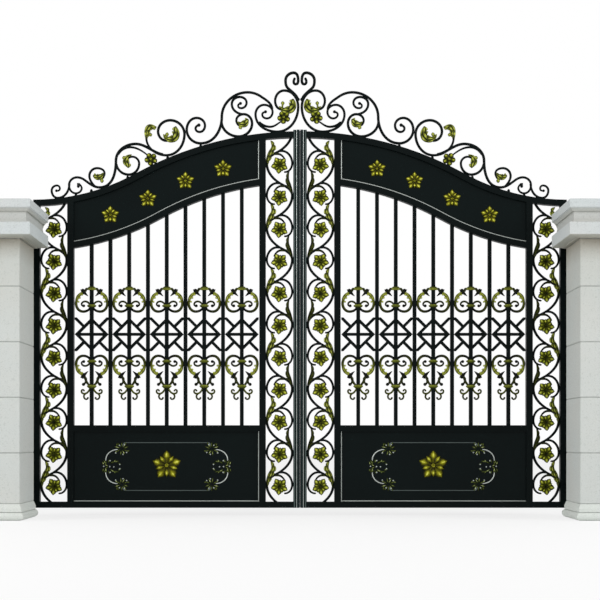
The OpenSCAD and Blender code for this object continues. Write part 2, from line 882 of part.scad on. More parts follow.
in_gateway(1) leaves();  // right_leaves
in_gateway(1) blossoms();  // right_blossoms
in_gateway(1) crown();  // right_crown
in_gateway(1) rosettes();  // right_rosettes
in_gateway(1) panel_leaves();  // right_panel_leaves
in_gateway(1) mouldings();  // right_mouldings
in_gateway(1) hinge_straps();  // right_hinge_straps
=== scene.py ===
import math

import bmesh
import bpy
from mathutils import Matrix, Vector


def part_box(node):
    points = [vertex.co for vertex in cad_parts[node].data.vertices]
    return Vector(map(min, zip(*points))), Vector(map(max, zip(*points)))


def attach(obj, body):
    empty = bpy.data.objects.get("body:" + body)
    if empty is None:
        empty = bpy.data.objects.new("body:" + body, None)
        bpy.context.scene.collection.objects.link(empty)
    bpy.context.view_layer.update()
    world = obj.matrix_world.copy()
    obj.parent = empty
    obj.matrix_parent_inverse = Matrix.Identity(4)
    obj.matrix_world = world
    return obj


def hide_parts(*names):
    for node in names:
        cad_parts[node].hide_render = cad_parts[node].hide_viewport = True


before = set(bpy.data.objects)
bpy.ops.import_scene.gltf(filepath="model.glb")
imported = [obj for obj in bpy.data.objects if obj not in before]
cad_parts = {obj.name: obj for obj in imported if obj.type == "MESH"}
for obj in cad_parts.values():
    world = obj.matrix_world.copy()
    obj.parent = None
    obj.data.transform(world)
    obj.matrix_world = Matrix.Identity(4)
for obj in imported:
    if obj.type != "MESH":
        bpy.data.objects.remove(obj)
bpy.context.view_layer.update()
MM = 0.001
SIDES = {"left": -1, "right": 1}

# Pillar shafts
# Each shaft is five courses of fine grained pale stone around a mortar core.
# The arrises are eased by hand and the courses meet in narrow raked joints.
GATEWAY_MID = 2.22
SHAFT_HALF = 0.25
JOINT = 0.006
ARRIS = 0.005


def node_span(node):
    low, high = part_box(node)
    return Vector(low), Vector(high)


def finish_piece(name, bm, body, material, replaced=None, smooth=None, flat_area=math.inf):
    # Edges that bend by less than smooth are shaded round, and faces from flat_area on stay flat
    mesh = bpy.data.meshes.new(name)
    if smooth is not None:
        bm.normal_update()
        for face in bm.faces:
            face.smooth = face.calc_area() < flat_area
        for edge in bm.edges:
            if len(edge.link_faces) == 2 and edge.calc_face_angle(0.0) > smooth:
                edge.smooth = False
    bm.to_mesh(mesh)
    bm.free()
    mesh.materials.append(material)
    piece = bpy.data.objects.new(name, mesh)
    bpy.context.scene.collection.objects.link(piece)
    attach(piece, body)
    if replaced:
        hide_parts(*replaced)


def new_material(name, roughness, metallic=0.0, specular=0.5, ior=1.45):
    material = bpy.data.materials.new(name)
    material.use_nodes = True
    nodes = material.node_tree.nodes
    shader = nodes["Principled BSDF"]
    shader.inputs["Roughness"].default_value = roughness
    shader.inputs["Metallic"].default_value = metallic
    shader.inputs["Specular IOR Level"].default_value = specular
    shader.inputs["IOR"].default_value = ior
    return material, nodes, material.node_tree.links, shader


def noise(nodes, links, scale, detail, roughness=0.5):
    coords = nodes.new("ShaderNodeTexCoord")
    texture = nodes.new("ShaderNodeTexNoise")
    texture.inputs["Scale"].default_value = scale
    texture.inputs["Detail"].default_value = detail
    texture.inputs["Roughness"].default_value = roughness
    links.new(coords.outputs["Object"], texture.inputs["Vector"])
    return texture.outputs["Fac"]


def ramp(nodes, links, source, stops):
    node = nodes.new("ShaderNodeValToRGB")
    while len(node.color_ramp.elements) < len(stops):
        node.color_ramp.elements.new(0.5)
    for element, (place, colour) in zip(node.color_ramp.elements, stops):
        element.position = place
        element.color = (*colour, 1.0)
    links.new(source, node.inputs["Fac"])
    return node.outputs["Color"]


def blend(nodes, links, factor, first, second, kind="MIX"):
    node = nodes.new("ShaderNodeMix")
    node.data_type = "RGBA"
    node.blend_type = kind
    if isinstance(factor, float):
        node.inputs["Factor"].default_value = factor
    else:
        links.new(factor, node.inputs["Factor"])
    for socket, value in ((node.inputs["A"], first), (node.inputs["B"], second)):
        if isinstance(value, tuple):
            socket.default_value = (*value, 1.0)
        else:
            links.new(value, socket)
    return node.outputs["Result"]


def math_node(nodes, links, operation, *values):
    node = nodes.new("ShaderNodeMath")
    node.operation = operation
    for socket, value in zip(node.inputs, values):
        if isinstance(value, float):
            socket.default_value = value
        else:
            links.new(value, socket)
    return node.outputs[0]


def bump(nodes, links, shader, height, distance, strength):
    node = nodes.new("ShaderNodeBump")
    node.inputs["Distance"].default_value = distance
    node.inputs["Strength"].default_value = strength
    links.new(height, node.inputs["Height"])
    links.new(node.outputs["Normal"], shader.inputs["Normal"])


def dust_and_shade_by_height(nodes, links, levels, waver):
    # Darkens the stone by height in wavering streaks: brown dust where rain doesn't wash it,
    # and painted shade under the cap and in its hollows
    low, high = levels[0][0], levels[-1][0]
    coords = nodes.new("ShaderNodeTexCoord")
    parts = nodes.new("ShaderNodeSeparateXYZ")
    links.new(coords.outputs["Object"], parts.inputs["Vector"])
    streaks = math_node(nodes, links, "MULTIPLY_ADD", noise(nodes, links, 7.0, 5.0), waver,
                        parts.outputs["Z"])
    place = nodes.new("ShaderNodeMapRange")
    place.inputs["From Min"].default_value = low + waver / 2
    place.inputs["From Max"].default_value = high + waver / 2
    links.new(streaks, place.inputs["Value"])
    return ramp(nodes, links, place.outputs["Result"],
                [((height - low) / (high - low), tone) for height, tone in levels])


def stone_material(name, pale, warm, speck, levels=None, waver=0.0):
    material, nodes, links, shader = new_material(name, 0.75, specular=0.3)
    colour = blend(nodes, links, noise(nodes, links, 2.2, 4.0), pale, warm)
    grain = ramp(nodes, links, noise(nodes, links, 260.0, 3.0, roughness=0.7),
                 [(0.34, speck), (0.47, CLEAN)])
    colour = blend(nodes, links, 1.0, colour, grain, "MULTIPLY")
    flecks = ramp(nodes, links, noise(nodes, links, 90.0, 2.0),
                  [(0.28, (0.86, 0.87, 0.86)), (0.42, CLEAN)])
    colour = blend(nodes, links, 1.0, colour, flecks, "MULTIPLY")
    if levels:
        # Multiplies in the brown dust and the painted shade by height
        dust_and_shade = dust_and_shade_by_height(nodes, links, levels, waver)
        colour = blend(nodes, links, 1.0, colour, dust_and_shade, "MULTIPLY")
    links.new(colour, shader.inputs["Base Color"])
    bump(nodes, links, shader, noise(nodes, links, 180.0, 4.0), 0.0006, 0.6)
    return material


def plain_material(name, roughness, scale, stops, metallic=0.0, specular=0.5):
    # One noise runs through a ramp of colours
    material, nodes, links, shader = new_material(name, roughness, metallic=metallic, specular=specular)
    links.new(ramp(nodes, links, noise(nodes, links, scale, 3.0), stops), shader.inputs["Base Color"])
    return material


def stone_block(bm, low, high, ease):
    made = bmesh.ops.create_cube(bm, size=1.0)["verts"]
    centre = (low + high) / 2
    span = high - low
    bmesh.ops.scale(bm, vec=span, verts=made)
    bmesh.ops.translate(bm, vec=centre, verts=made)
    edges = list({edge for vert in made for edge in vert.link_edges})
    bmesh.ops.bevel(bm, geom=edges, offset=ease, offset_type="OFFSET", segments=2,
                    profile=0.5, affect="EDGES", material=-1)


CLEAN = (1.0, 1.0, 1.0)
# Darker and browner towards the shaft's top: brown stain with painted shade under the cap
SHAFT_DUST_AND_SHADE = [(1.30, CLEAN), (1.82, (0.93, 0.92, 0.90)), (1.90, (0.78, 0.75, 0.71)),
              (1.97, (0.60, 0.54, 0.47))]
shaft_stone = stone_material("shaft_stone", (0.60, 0.65, 0.64), (0.65, 0.65, 0.61), (0.74, 0.75, 0.73),
                             SHAFT_DUST_AND_SHADE, 0.05)
mortar = plain_material("joint_mortar", 0.9, 120.0,
                        [(0.3, (0.36, 0.38, 0.36)), (0.7, (0.46, 0.48, 0.46))], specular=0.2)
COURSES = [0.476, 0.867, 1.258, 1.649]

for side in SIDES:
    low, high = node_span(side + "_shaft")
    levels = [low.z] + COURSES + [high.z]
    bm = bmesh.new()
    for foot, top in zip(levels, levels[1:]):
        stone_block(bm, Vector((low.x, low.y, foot + JOINT / 2)),
                    Vector((high.x, high.y, top - JOINT / 2)), ARRIS)
    finish_piece(side + "_shaft_courses", bm, "pillars", shaft_stone, [side + "_shaft"])
    inset = Vector((0.004, 0.004, 0))
    bm = bmesh.new()
    stone_block(bm, low + inset, high - inset, 0.001)
    finish_piece(side + "_mortar_core", bm, "pillars", mortar)

# Plinths
# A plinth is one moulded block: a fat torus, a fillet and a chamfer that runs
# into the shaft, with mitred corners. It is cut from the same stone.


def close_ends(bm):
    bmesh.ops.holes_fill(bm, edges=[edge for edge in bm.edges if edge.is_boundary])
    bmesh.ops.recalc_face_normals(bm, faces=list(bm.faces))


def extrude_on(bm, face):
    # Extrudes a face and drops the one it started from, so that none stays inside
    grown = bmesh.ops.extrude_face_region(bm, geom=[face])["geom"]
    if face.is_valid:
        bmesh.ops.delete(bm, geom=[face], context="FACES_ONLY")
    return [item for item in grown if isinstance(item, bmesh.types.BMFace)][0]


def arc(x, y, wide, high, turns):
    return [(x + wide * math.cos(math.radians(turn)), y + high * math.sin(math.radians(turn)))
            for turn in turns]


def held_flats(profile):
    # Extra points near both ends of each long flat keep it flat where edges are smoothed
    points = [profile[0]]
    for before, after in zip(profile, profile[1:]):
        length = math.dist(before, after)
        if length > 0.012:
            for share in (0.0015 / length, 1 - 0.0015 / length):
                points.append(tuple(a + (b - a) * share for a, b in zip(before, after)))
        points.append(after)
    return points


def mitred_block(bm, centre, profile):
    profile = held_flats(profile)
    made = bmesh.ops.create_grid(bm, x_segments=1, y_segments=1, size=1.0)
    bmesh.ops.reverse_faces(bm, faces=list(bm.faces))
    first = profile[0]
    bmesh.ops.scale(bm, vec=Vector((first[0], first[0], 1.0)), verts=made["verts"])
    bmesh.ops.translate(bm, vec=Vector((centre.x, centre.y, first[1])), verts=made["verts"])
    face = bm.faces[:][0]
    for before, after in zip(profile, profile[1:]):
        face = extrude_on(bm, face)
        verts = list(face.verts)
        ratio = after[0] / before[0]
        about = Matrix.Translation(Vector((-centre.x, -centre.y, 0)))
        bmesh.ops.scale(bm, vec=Vector((ratio, ratio, 1.0)), space=about, verts=verts)
        bmesh.ops.translate(bm, vec=Vector((0, 0, after[1] - before[1])), verts=verts)
    close_ends(bm)


plinth_stone = stone_material("plinth_stone", (0.70, 0.76, 0.72), (0.72, 0.73, 0.69), (0.68, 0.69, 0.68))
PLINTH_OVER = 0.028
for side in SIDES:
    low, high = node_span(side + "_plinth")
    centre = Vector(((low.x + high.x) / 2, (low.y + high.y) / 2, 0))
    top = high.z
    torus = top / 4
    edge = SHAFT_HALF + PLINTH_OVER - torus
    profile = arc(edge, torus, torus, torus, range(-90, 91, 12))
    profile += [(SHAFT_HALF + 0.012, 2 * torus + 0.001), (SHAFT_HALF + 0.0126, 0.72 * top),
                (SHAFT_HALF + 0.011, 0.75 * top), (SHAFT_HALF + 0.0005, 0.985 * top),
                (SHAFT_HALF - 0.001, top)]
    bm = bmesh.new()
    mitred_block(bm, centre, profile)
    finish_piece(side + "_plinth_moulding", bm, "pillars", plinth_stone,
                 [side + "_plinth"], smooth=math.radians(32), flat_area=0.01)

# Caps
# A cap is cut from a whiter, bluer stone: a plain top slab over a hollow, and a
# broad band under it whose soffit steps back to the shaft. Rain has eased its edges.
CAP_FOOT = node_span("left_cap")[0].z
# Darker on the soffit, the neck and under the slab: painted shade in the cap's hollows, with some brown
# dust
CAP_DUST_AND_SHADE = [(0.0, (0.66, 0.61, 0.53)), (0.013, (0.80, 0.77, 0.70)), (0.019, CLEAN), (0.096, CLEAN),
            (0.106, (0.86, 0.83, 0.79)), (0.160, (0.90, 0.87, 0.84)), (0.180, (0.78, 0.75, 0.70)),
            (0.197, (0.86, 0.84, 0.80)), (0.202, CLEAN), (0.263, CLEAN)]
cap_stone = stone_material("cap_stone", (0.60, 0.665, 0.68), (0.65, 0.66, 0.64), (0.78, 0.79, 0.80),
                           [(CAP_FOOT + height, tone) for height, tone in CAP_DUST_AND_SHADE], 0.004)
CAP_HALF = 0.34
for side in SIDES:
    low, high = node_span(side + "_cap")
    centre = Vector(((low.x + high.x) / 2, (low.y + high.y) / 2, 0))
    foot = low.z
    band = foot + 0.103
    slab = high.z - 0.060
    neck = CAP_HALF - 0.034
    ease = 0.004
    profile = [
        (SHAFT_HALF - 0.002, foot), (SHAFT_HALF + 0.022, foot), (SHAFT_HALF + 0.024, foot + 0.006),
        (CAP_HALF - ease, foot + 0.0125), (CAP_HALF - 0.001, foot + 0.0135), (CAP_HALF, foot + 0.0175),
        (CAP_HALF, band - ease), (CAP_HALF - 0.001, band - 0.001), (CAP_HALF - ease, band),
        (neck + 0.010, band + 0.004), (neck + 0.003, band + 0.008), (neck, band + 0.016),
        (neck, slab - 0.024), (neck + 0.012, slab - 0.023), (neck + 0.014, slab - 0.018),
        (neck + 0.018, slab - 0.010), (neck + 0.026, slab - 0.003), (CAP_HALF - 0.004, slab),
        (CAP_HALF - 0.001, slab + 0.001), (CAP_HALF, slab + ease),
        (CAP_HALF, high.z - ease), (CAP_HALF - 0.001, high.z - 0.001), (CAP_HALF - ease, high.z),
    ]
    bm = bmesh.new()
    mitred_block(bm, centre, profile)
    finish_piece(side + "_cap_moulding", bm, "pillars", cap_stone,
                 [side + "_cap"], smooth=math.radians(28), flat_area=0.01)

# Hinge plates and pins
# Cast plates are bolted to the rear of each pillar, and their arms carry the pins.
# They are powder coated in the gate's own black green.


def map_range(nodes, links, source, low, high):
    node = nodes.new("ShaderNodeMapRange")
    node.inputs["To Min"].default_value = low
    node.inputs["To Max"].default_value = high
    links.new(source, node.inputs["Value"])
    return node.outputs["Result"]


def paint_material(name, colour, roughness, specular, fleck):
    material, nodes, links, shader = new_material(name, roughness, specular=specular, ior=1.25)
    lighter = tuple(value * fleck for value in colour)
    tone = blend(nodes, links, noise(nodes, links, 3.0, 3.0), colour, lighter)
    links.new(tone, shader.inputs["Base Color"])
    gloss = map_range(nodes, links, noise(nodes, links, 40.0, 3.0), roughness - 0.06, roughness + 0.08)
    links.new(gloss, shader.inputs["Roughness"])
    bump(nodes, links, shader, noise(nodes, links, 900.0, 2.0), 0.00008, 0.35)
    return material


black_paint = paint_material("black_green_coat", (0.0016, 0.0034, 0.0034), 0.38, 0.20, 1.6)


def dress(node, material):
    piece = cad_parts[node]
    for slot in piece.material_slots:
        slot.material = material


BOLT_R = 0.011
BOLT_ACROSS = 0.026
BOLT_RISES = (-0.0925, 0.0045)
PLATE_OUT = 2.02
PLATE_FACE_Y = 0.2635
PIN_LEVELS = (0.25, 1.15, 1.88)


def turn_part(bm, degrees, axis):
    bmesh.ops.rotate(bm, matrix=Matrix.Rotation(math.radians(degrees), 3, axis), verts=bm.verts)


def hex_bolt():
    bm = bmesh.new()
    bmesh.ops.create_cone(bm, cap_ends=True, segments=6, radius1=BOLT_R, radius2=BOLT_R, depth=0.007)
    bmesh.ops.bevel(bm, geom=bm.edges[:], offset=0.001, offset_type="OFFSET", segments=1,
                    profile=0.5, affect="EDGES", material=-1)
    turn_part(bm, 90, "X")
    return bm


def pour(total, part):
    held = bpy.data.meshes.new("held")
    part.to_mesh(held)
    part.free()
    total.from_mesh(held)
    bpy.data.meshes.remove(held)


def place_part(total, part, x, y, z):
    bmesh.ops.translate(part, vec=Vector((x, y, z)), verts=part.verts)
    pour(total, part)


for side, sign in SIDES.items():
    dress(side + "_hinge_pins", black_paint)
    bm = bmesh.new()
    for pin_z in PIN_LEVELS:
        for across in (-BOLT_ACROSS, BOLT_ACROSS):
            for rise in BOLT_RISES:
                place_part(bm, hex_bolt(), GATEWAY_MID + sign * PLATE_OUT + across, PLATE_FACE_Y,
                           pin_z + rise)
    finish_piece(side + "_hinge_bolts", bm, "pillars", black_paint,
                 smooth=math.radians(40))

# Leaf frames, panels, pickets and diamonds
# Square aluminium sections are welded into a frame, with sheet panels let into it
# and pickets between the rails. Everything is powder coated a satin black green.
panel_paint = paint_material("panel_coat", (0.0024, 0.0050, 0.0050), 0.30, 0.20, 1.4)
for side in SIDES:
    for part in ("stiles", "top_rail", "rails", "pickets", "diamonds", "hinge_straps"):
        dress(side + "_" + part, black_paint)
    for part in ("arch_panel", "foot_panel"):
        dress(side + "_" + part, panel_paint)

# Meeting stiles
# Each leaf ends in a drawn section: a shallow rounded face beside a raised flat, with
# a bead between them painted pale silver as a highlight. Its outer edge is painted a
# lighter grey as a sheen, and rubber lines the joint.
LEAF_EDGE = 0.0025
LEAF_Y = 0.385
LEAF_FOOT = node_span("left_rails")[0].z
LEAF_DEPTH = 0.025
MEETING_W = 0.048
FRONT = -LEAF_DEPTH
FLAT_W = 0.0205
FLAT_OUT = 0.010
ROUND_W = 0.026
ROUND_OUT = 0.004
EDGE_SHEEN_R = 0.0105
SEAL_OUT = 0.0021


def leaf_piece(side, name, bm, material, replaced=None, smooth=50):
    # A leaf is drawn from its meeting edge outwards, and the left one is mirrored
    sign = SIDES[side]
    if sign < 0:
        bmesh.ops.scale(bm, vec=Vector((-1, 1, 1)), verts=bm.verts)
        bmesh.ops.reverse_faces(bm, faces=bm.faces)
    place = Vector((GATEWAY_MID + sign * LEAF_EDGE, LEAF_Y, LEAF_FOOT))
    bmesh.ops.translate(bm, vec=place, verts=bm.verts)
    finish_piece(side + "_" + name, bm, side + "_leaf", material,
                 [side + "_" + replaced] if replaced else None, smooth=math.radians(smooth))


def drawn_section(outline, foot, top):
    bm = bmesh.new()
    face = extrude_on(bm, bm.faces.new([bm.verts.new((x, y, foot)) for x, y in outline]))
    bmesh.ops.translate(bm, vec=Vector((0, 0, top - foot)), verts=list(face.verts))
    close_ends(bm)
    return bm


grey_paint = paint_material("meeting_coat", (0.0030, 0.0085, 0.0090), 0.26, 0.45, 1.4)
# The lighter grey on the rounded outer edge is a painted sheen
edge_sheen_paint = paint_material("edge_sheen_coat", (0.100, 0.135, 0.125), 0.40, 0.45, 1.25)
seal_rubber = paint_material("seal_rubber", (0.004, 0.004, 0.004), 0.70, 0.10, 1.5)
# The bead's pale silver is a painted highlight line
silver_paint = plain_material("silver_highlight_bead", 0.32, 30.0,
                              [(0.3, (0.36, 0.40, 0.39)), (0.7, (0.50, 0.54, 0.52))], metallic=0.6)
section_outline = [(0.0, LEAF_DEPTH), (MEETING_W, LEAF_DEPTH)]
section_outline += [(MEETING_W - ROUND_W * t / 8, FRONT - ROUND_OUT * math.sin(math.pi * (0.5 - t / 16)))
                    for t in range(9)]
section_outline += [(FLAT_W + 0.001, FRONT - FLAT_OUT + 0.001), (FLAT_W, FRONT - FLAT_OUT),
                    (0.0, FRONT - FLAT_OUT)]
bead_outline = [(FLAT_W - 0.0005, FRONT - 0.0095)]
bead_outline += arc(FLAT_W + 0.001, FRONT - 0.0055, 0.0035, 0.0042, range(-80, 81, 20))
bead_outline += [(FLAT_W - 0.0005, FRONT - 0.0015)]
edge_outline = arc(MEETING_W - EDGE_SHEEN_R, FRONT, EDGE_SHEEN_R, ROUND_OUT, range(-90, 1, 15))
edge_outline += [(MEETING_W, FRONT + 0.004), (MEETING_W - EDGE_SHEEN_R, FRONT + 0.004)]
seal_outline = [(0.002, 0.006), (0.0, 0.005), (-SEAL_OUT, 0.003), (-SEAL_OUT, -0.003), (0.0, -0.005),
                (0.002, -0.006)]
# Name, slot, material, outline, distance from both ends, node it stands for and smoothing
MEETING_PARTS = [
    ("meeting_section", "dark_grey_paint", grey_paint, section_outline, 0.0, "meeting_stile", 30),
    ("meeting_bead", "silver_paint", silver_paint, bead_outline, 0.001, None, 40),
    ("meeting_edge", "dark_grey_paint", edge_sheen_paint, edge_outline, 0.001, None, 40),
    ("seal_strip", "black_paint", seal_rubber, seal_outline, 0.003, None, 40),
]
for side in SIDES:
    top = node_span(side + "_meeting_stile")[1].z - LEAF_FOOT
    for name, slot, material, outline, inset, replaced, smooth in MEETING_PARTS:
        bm = drawn_section(outline, inset, top - inset)
        leaf_piece(side, name, bm, material, replaced, smooth)

# Scrolled bars of the crown
# Round bars of cast aluminium are bent into rings, hearts and spirals, welded where
# they touch, and stand on short feet on the top rail. They are painted black.
LEAF_W = 1.9935
SHOULDER_H = 2.306
CREST_H = 2.818
SWEEP = 2 * math.atan((CREST_H - SHOULDER_H) / LEAF_W)
DOME_R = LEAF_W / math.sin(SWEEP) * 0.615
DIP_R = LEAF_W / math.sin(SWEEP) - DOME_R
CROWN_EDGE = 11
CROWN_SEAT = 7


def rail_height(u, drop=0.0):
    dome = DOME_R - drop
    if u <= dome * math.sin(SWEEP):
        return CREST_H - DOME_R + math.sqrt(dome ** 2 - u * u)
    return SHOULDER_H + DIP_R - math.sqrt((DIP_R + drop) ** 2 - (LEAF_W - u) ** 2)


def heading(angle):
    return Vector((math.cos(math.radians(angle)), math.sin(math.radians(angle))))


def bend_handle(chord, angle):
    turn = chord.angle(heading(angle), 0.0)
    return chord.length / (3 * math.cos(turn / 2) ** 2)


def bend_point(first, second, share):
    start, end = Vector(first[:2]), Vector(second[:2])
    ahead = start + heading(first[2]) * bend_handle(end - start, first[2])
    behind = end - heading(second[2]) * bend_handle(end - start, second[2])
    rest = 1 - share
    place = (rest ** 3 * start + 3 * rest ** 2 * share * ahead
             + 3 * rest * share ** 2 * behind + share ** 3 * end)
    along = (rest ** 2 * (ahead - start) + 2 * rest * share * (behind - ahead)
             + share ** 2 * (end - behind))
    return place, along.normalized()


def trace_bar(stations, step):
    line = []
    for first, second in zip(stations, stations[1:]):
        count = max(4, math.ceil((Vector(second[:2]) - Vector(first[:2])).length * 1.3 / step))
        line += [bend_point(first, second, k / count) for k in range(count)]
    line.append(bend_point(stations[-2], stations[-1], 1.0))
    return line


def section_place(place, along, half_width, half_depth):
    across = Vector((-along.y, 0, along.x)) * half_width
    return Matrix((
        (across.x, 0, along.x, place.x),
        (0, half_depth, 0, 0),
        (across.z, 0, along.y, place.y),
        (0, 0, 0, 1),
    ))


def sweep_rings(rings, section=None, sides=10, gilt_and_sheen=(0.0, 0.0), tones=None):
    bm = bmesh.new()
    relief = bm.verts.layers.float.new("relief")
    if section is None:
        bmesh.ops.create_circle(bm, cap_ends=True, radius=1.0, segments=sides)
        for vert in bm.verts:
            vert[relief] = gilt_and_sheen[0]
    else:
        verts = []
        for across, depth, height in section:
            vert = bm.verts.new((across, depth, 0))
            vert[relief] = height * (tones[0] if tones else 1.0)
            verts.append(vert)
        bm.faces.new(verts)
    face = bm.faces[:][0]
    bmesh.ops.transform(bm, matrix=rings[0], verts=bm.verts)
    for i, (before, after) in enumerate(zip(rings, rings[1:])):
        face = extrude_on(bm, face)
        bmesh.ops.transform(bm, matrix=after @ before.inverted(), verts=face.verts)
        for vert in face.verts:
            if section is None:
                vert[relief] = gilt_and_sheen[0] + (gilt_and_sheen[1] - gilt_and_sheen[0]) * i / len(rings)
            elif tones:
                vert[relief] *= tones[i + 1] / tones[i]
    close_ends(bm)
    return bm


def bar(total, stations, width, end_width, depth=16.0, knob=1.0, step=11.0, sides=10, swell=0.15,
        gilt_and_sheen=(0.0, 0.0)):
    # Swells a little in its middle, eases off at its start and ends in a round knob
    line = trace_bar(stations, step)
    rings = []
    last = len(line) - 1
    end_place, end_along = line[-1]
    ball = end_width / 2 * knob
    for i, (place, along) in enumerate(line):
        if knob > 1.0 and (place - end_place).length < ball * 0.9:
            break
        fat = 1.0 + swell * math.sin(math.pi * i / last)
        half = (width + (end_width - width) * i / last) / 2 * fat
        half_depth = depth / 2 * min(1.0, half * 2 / width + 0.15)
        if i == 0:
            for back, size in ((0.8, 0.45), (0.45, 0.85)):
                rings.append(section_place(place - along * half * back, along, half * size,
                                           half_depth * size))
        rings.append(section_place(place, along, half, half_depth))
    turns = (-50, -25, 0, 25, 50, 72) if knob > 1.0 else (22, 48, 72)
    for turn in turns:
        reach = math.sin(math.radians(turn))
        share = math.cos(math.radians(turn))
        rings.append(section_place(end_place + end_along * ball * reach, end_along, ball * share,
                                   depth / 2 * share * min(1.1, knob)))
    pour(total, sweep_rings(rings, sides=sides, gilt_and_sheen=gilt_and_sheen))


def to_leaf_metres(bm):
    bmesh.ops.scale(bm, vec=Vector((MM, MM, MM)), verts=bm.verts)


def on_crown(stations):
    return [(u, rail_height(u * MM) / MM + rise, turn) for u, rise, turn in stations]


CROWN_BARS = [
    # Half of the heart at the meeting edge
    ([(38, 400, 302), (28, 358, 180), (CROWN_EDGE, 386, 90), (45, 444, 0),
      (106, 388, 270), (90, 332, 225), (CROWN_EDGE, 244, 250)], 20, 19, 1.35),
    # Teardrop with the spiral it ends in
    ([(142, 174, 10), (184, 239, 90), (115, 313, 180), (CROWN_EDGE, 188, 270), (169, CROWN_SEAT, 0),
      (331, 153, 90), (266, 217, 180), (203, 158, 270), (246, 113, 0), (281, 147, 90), (256, 164, 160)],
     19, 16, 1.5),
    ([(300, 88, 225), (221, 48, 180), (134, 85, 150)], 19, 11, 1.0),
    # Great arch that falls into the second spiral
    ([(206, 185, 80), (289, 281, 35), (390, 327, 0), (584, 179, 270), (742, CROWN_SEAT + 18, 0),
      (847, 162, 90), (772, 225, 180), (710, 148, 270), (751, 113, 0), (781, 149, 90), (756, 166, 160)],
     19, 18, 1.5),
    # Ring under the arch and the curl that rises from it
    ([(586, 150, 270), (458, CROWN_SEAT, 180), (357, 89, 90), (420, 168, 0), (475, 130, 270),
      (460, 94, 225)], 20, 17, 1.0),
    ([(418, 167, 0), (509, 261, 90), (448, 302, 180), (398, 250, 270), (439, 216, 0), (462, 238, 90),
      (444, 253, 160)], 18, 15, 1.6),
    # Great ring with its outer hook
    ([(998, 138, 0), (1062, 236, 90), (971, 280, 180), (864, 134, 270), (1001, 30, 0), (1150, 233, 90),
      (1144, 264, 110)], 20, 16, 1.0),
    # Long sweep that runs down the rail into the next ring
    ([(1030, 50, 10), (1230, 227, 0), (1378, 170, 270), (1501, 18, 0), (1616, 108, 35), (1669, 138, 0),
      (1730, 90, 270), (1678, 20, 180), (1634, 52, 90), (1660, 68, 250)], 21, 15, 1.5),
    ([(1374, 142, 260), (1282, 24, 180), (1204, 66, 90), (1256, 145, 0), (1294, 149, 330)], 19, 15, 1.0),
    ([(1360, 214, 120), (1271, 224, 180), (1139, 94, 218)], 18, 11, 1.0),
    # Small ring and the end scroll
    ([(1534, 35, 45), (1577, 127, 90), (1519, 168, 180), (1463, 109, 270), (1475, 80, 300)], 17, 15, 1.0),
    ([(1727, 101, 270), (1815, CROWN_SEAT, 0), (1860, 67, 90), (1819, 101, 180), (1798, 74, 270),
      (1824, 62, 10)], 17, 14, 1.5),
]
CROWN_FEET = [(1562, 14), (990, 12), (742, 10), (1290, 10), (1678, 10)]


def crown_mesh():
    total = bmesh.new()
    for i, (stations, width, end_width, knob) in enumerate(CROWN_BARS):
        bar(total, on_crown(stations), width, end_width, knob=knob, depth=16 - 0.5 * (i % 4))
    for u, rise in CROWN_FEET:
        place = rail_height(u * MM) / MM
        bar(total, [(u, place - 6, 90), (u, place + rise, 90)], 22, 20, depth=14)
    to_leaf_metres(total)
    return total


for side in SIDES:
    leaf_piece(side, "crown_bars", crown_mesh(), black_paint, "crown")

# Vines
# One stem climbs each narrow bay in half turns, one around every blossom. They are
# cast in short lengths, welded to each other and to the stiles, and painted black.
VINE_PITCH = 241.0
FIRST_BLOSSOM = 159.0
# Middle and number of blossoms of the inner and the outer bay
BAYS = [(151.0, 11), (1842.5, 9)]
BAY_FOOT = 43.0
BAY_HALF = 103
RAIL_W = 43
VINE_BARS = [
    ([(0, -134, 32), (95, 12, 90), (0, 107, 148)], 18, 18),
    ([(-4, 105, 170), (-95, 14, 270), (-40, -52, 0)], 17, 14),
]


def half_turns(count):
    # Side and height of each blossom's half turn, from the foot up
    return [(1 if k % 2 == 0 else -1, FIRST_BLOSSOM + k * VINE_PITCH) for k in range(count)]


def turned(stations, flip, u, v):
    if flip > 0:
        return [(u + x, v + y, turn) for x, y, turn in stations]
    return [(u - x, v + y, 180 - turn) for x, y, turn in stations]


def cut_and_close(bm, place, normal):
    # Cuts off what lies beyond a plane and closes the cut
    bmesh.ops.bisect_plane(bm, geom=bm.verts[:] + bm.edges[:] + bm.faces[:], plane_co=place,
                           plane_no=normal, clear_outer=True)
    bmesh.ops.holes_fill(bm, edges=[edge for edge in bm.edges if edge.is_boundary])


def cut_under_rail(bm, u):
    # Ends the top of a vine on the underside of the sloping top rail
    near, far = u - BAY_HALF, u + BAY_HALF
    near_v = rail_height(near * MM) / MM - RAIL_W
    far_v = rail_height(far * MM) / MM - RAIL_W
    slope = Vector((far - near, 0, far_v - near_v)).normalized()
    cut_and_close(bm, Vector((near, 0, near_v)), Vector((-slope.z, 0, slope.x)))


def vine_mesh(u, count):
    total = bmesh.new()
    for k, (flip, v) in enumerate(half_turns(count + 1)):
        for i, (stations, width, end_width) in enumerate(VINE_BARS):
            if k < count or i == 0:
                bar(total, turned(stations, flip, u, v), width, end_width, depth=15 - 0.7 * i)
    cut_and_close(total, Vector((u, 0, BAY_FOOT)), Vector((0, 0, -1)))
    cut_under_rail(total, u)
    to_leaf_metres(total)
    return total


for side in SIDES:
    bm = bmesh.new()
    for u, count in BAYS:
        pour(bm, vine_mesh(u, count))
    leaf_piece(side, "vine_stems", bm, black_paint, "vines")

# Leaves of the vines and the crown
# Long ribbed leaves are cast onto the bars where they branch. They are brushed with
# antique gold, which wears bright on the ribs and stays dark in the grooves.


def relief_of(nodes):
    # How far a spot stands proud in its casting, and so how bright it is rubbed; on the
    # panel beads it sets a painted highlight
    attribute = nodes.new("ShaderNodeAttribute")
    attribute.attribute_name = "relief"
    return attribute.outputs["Fac"]


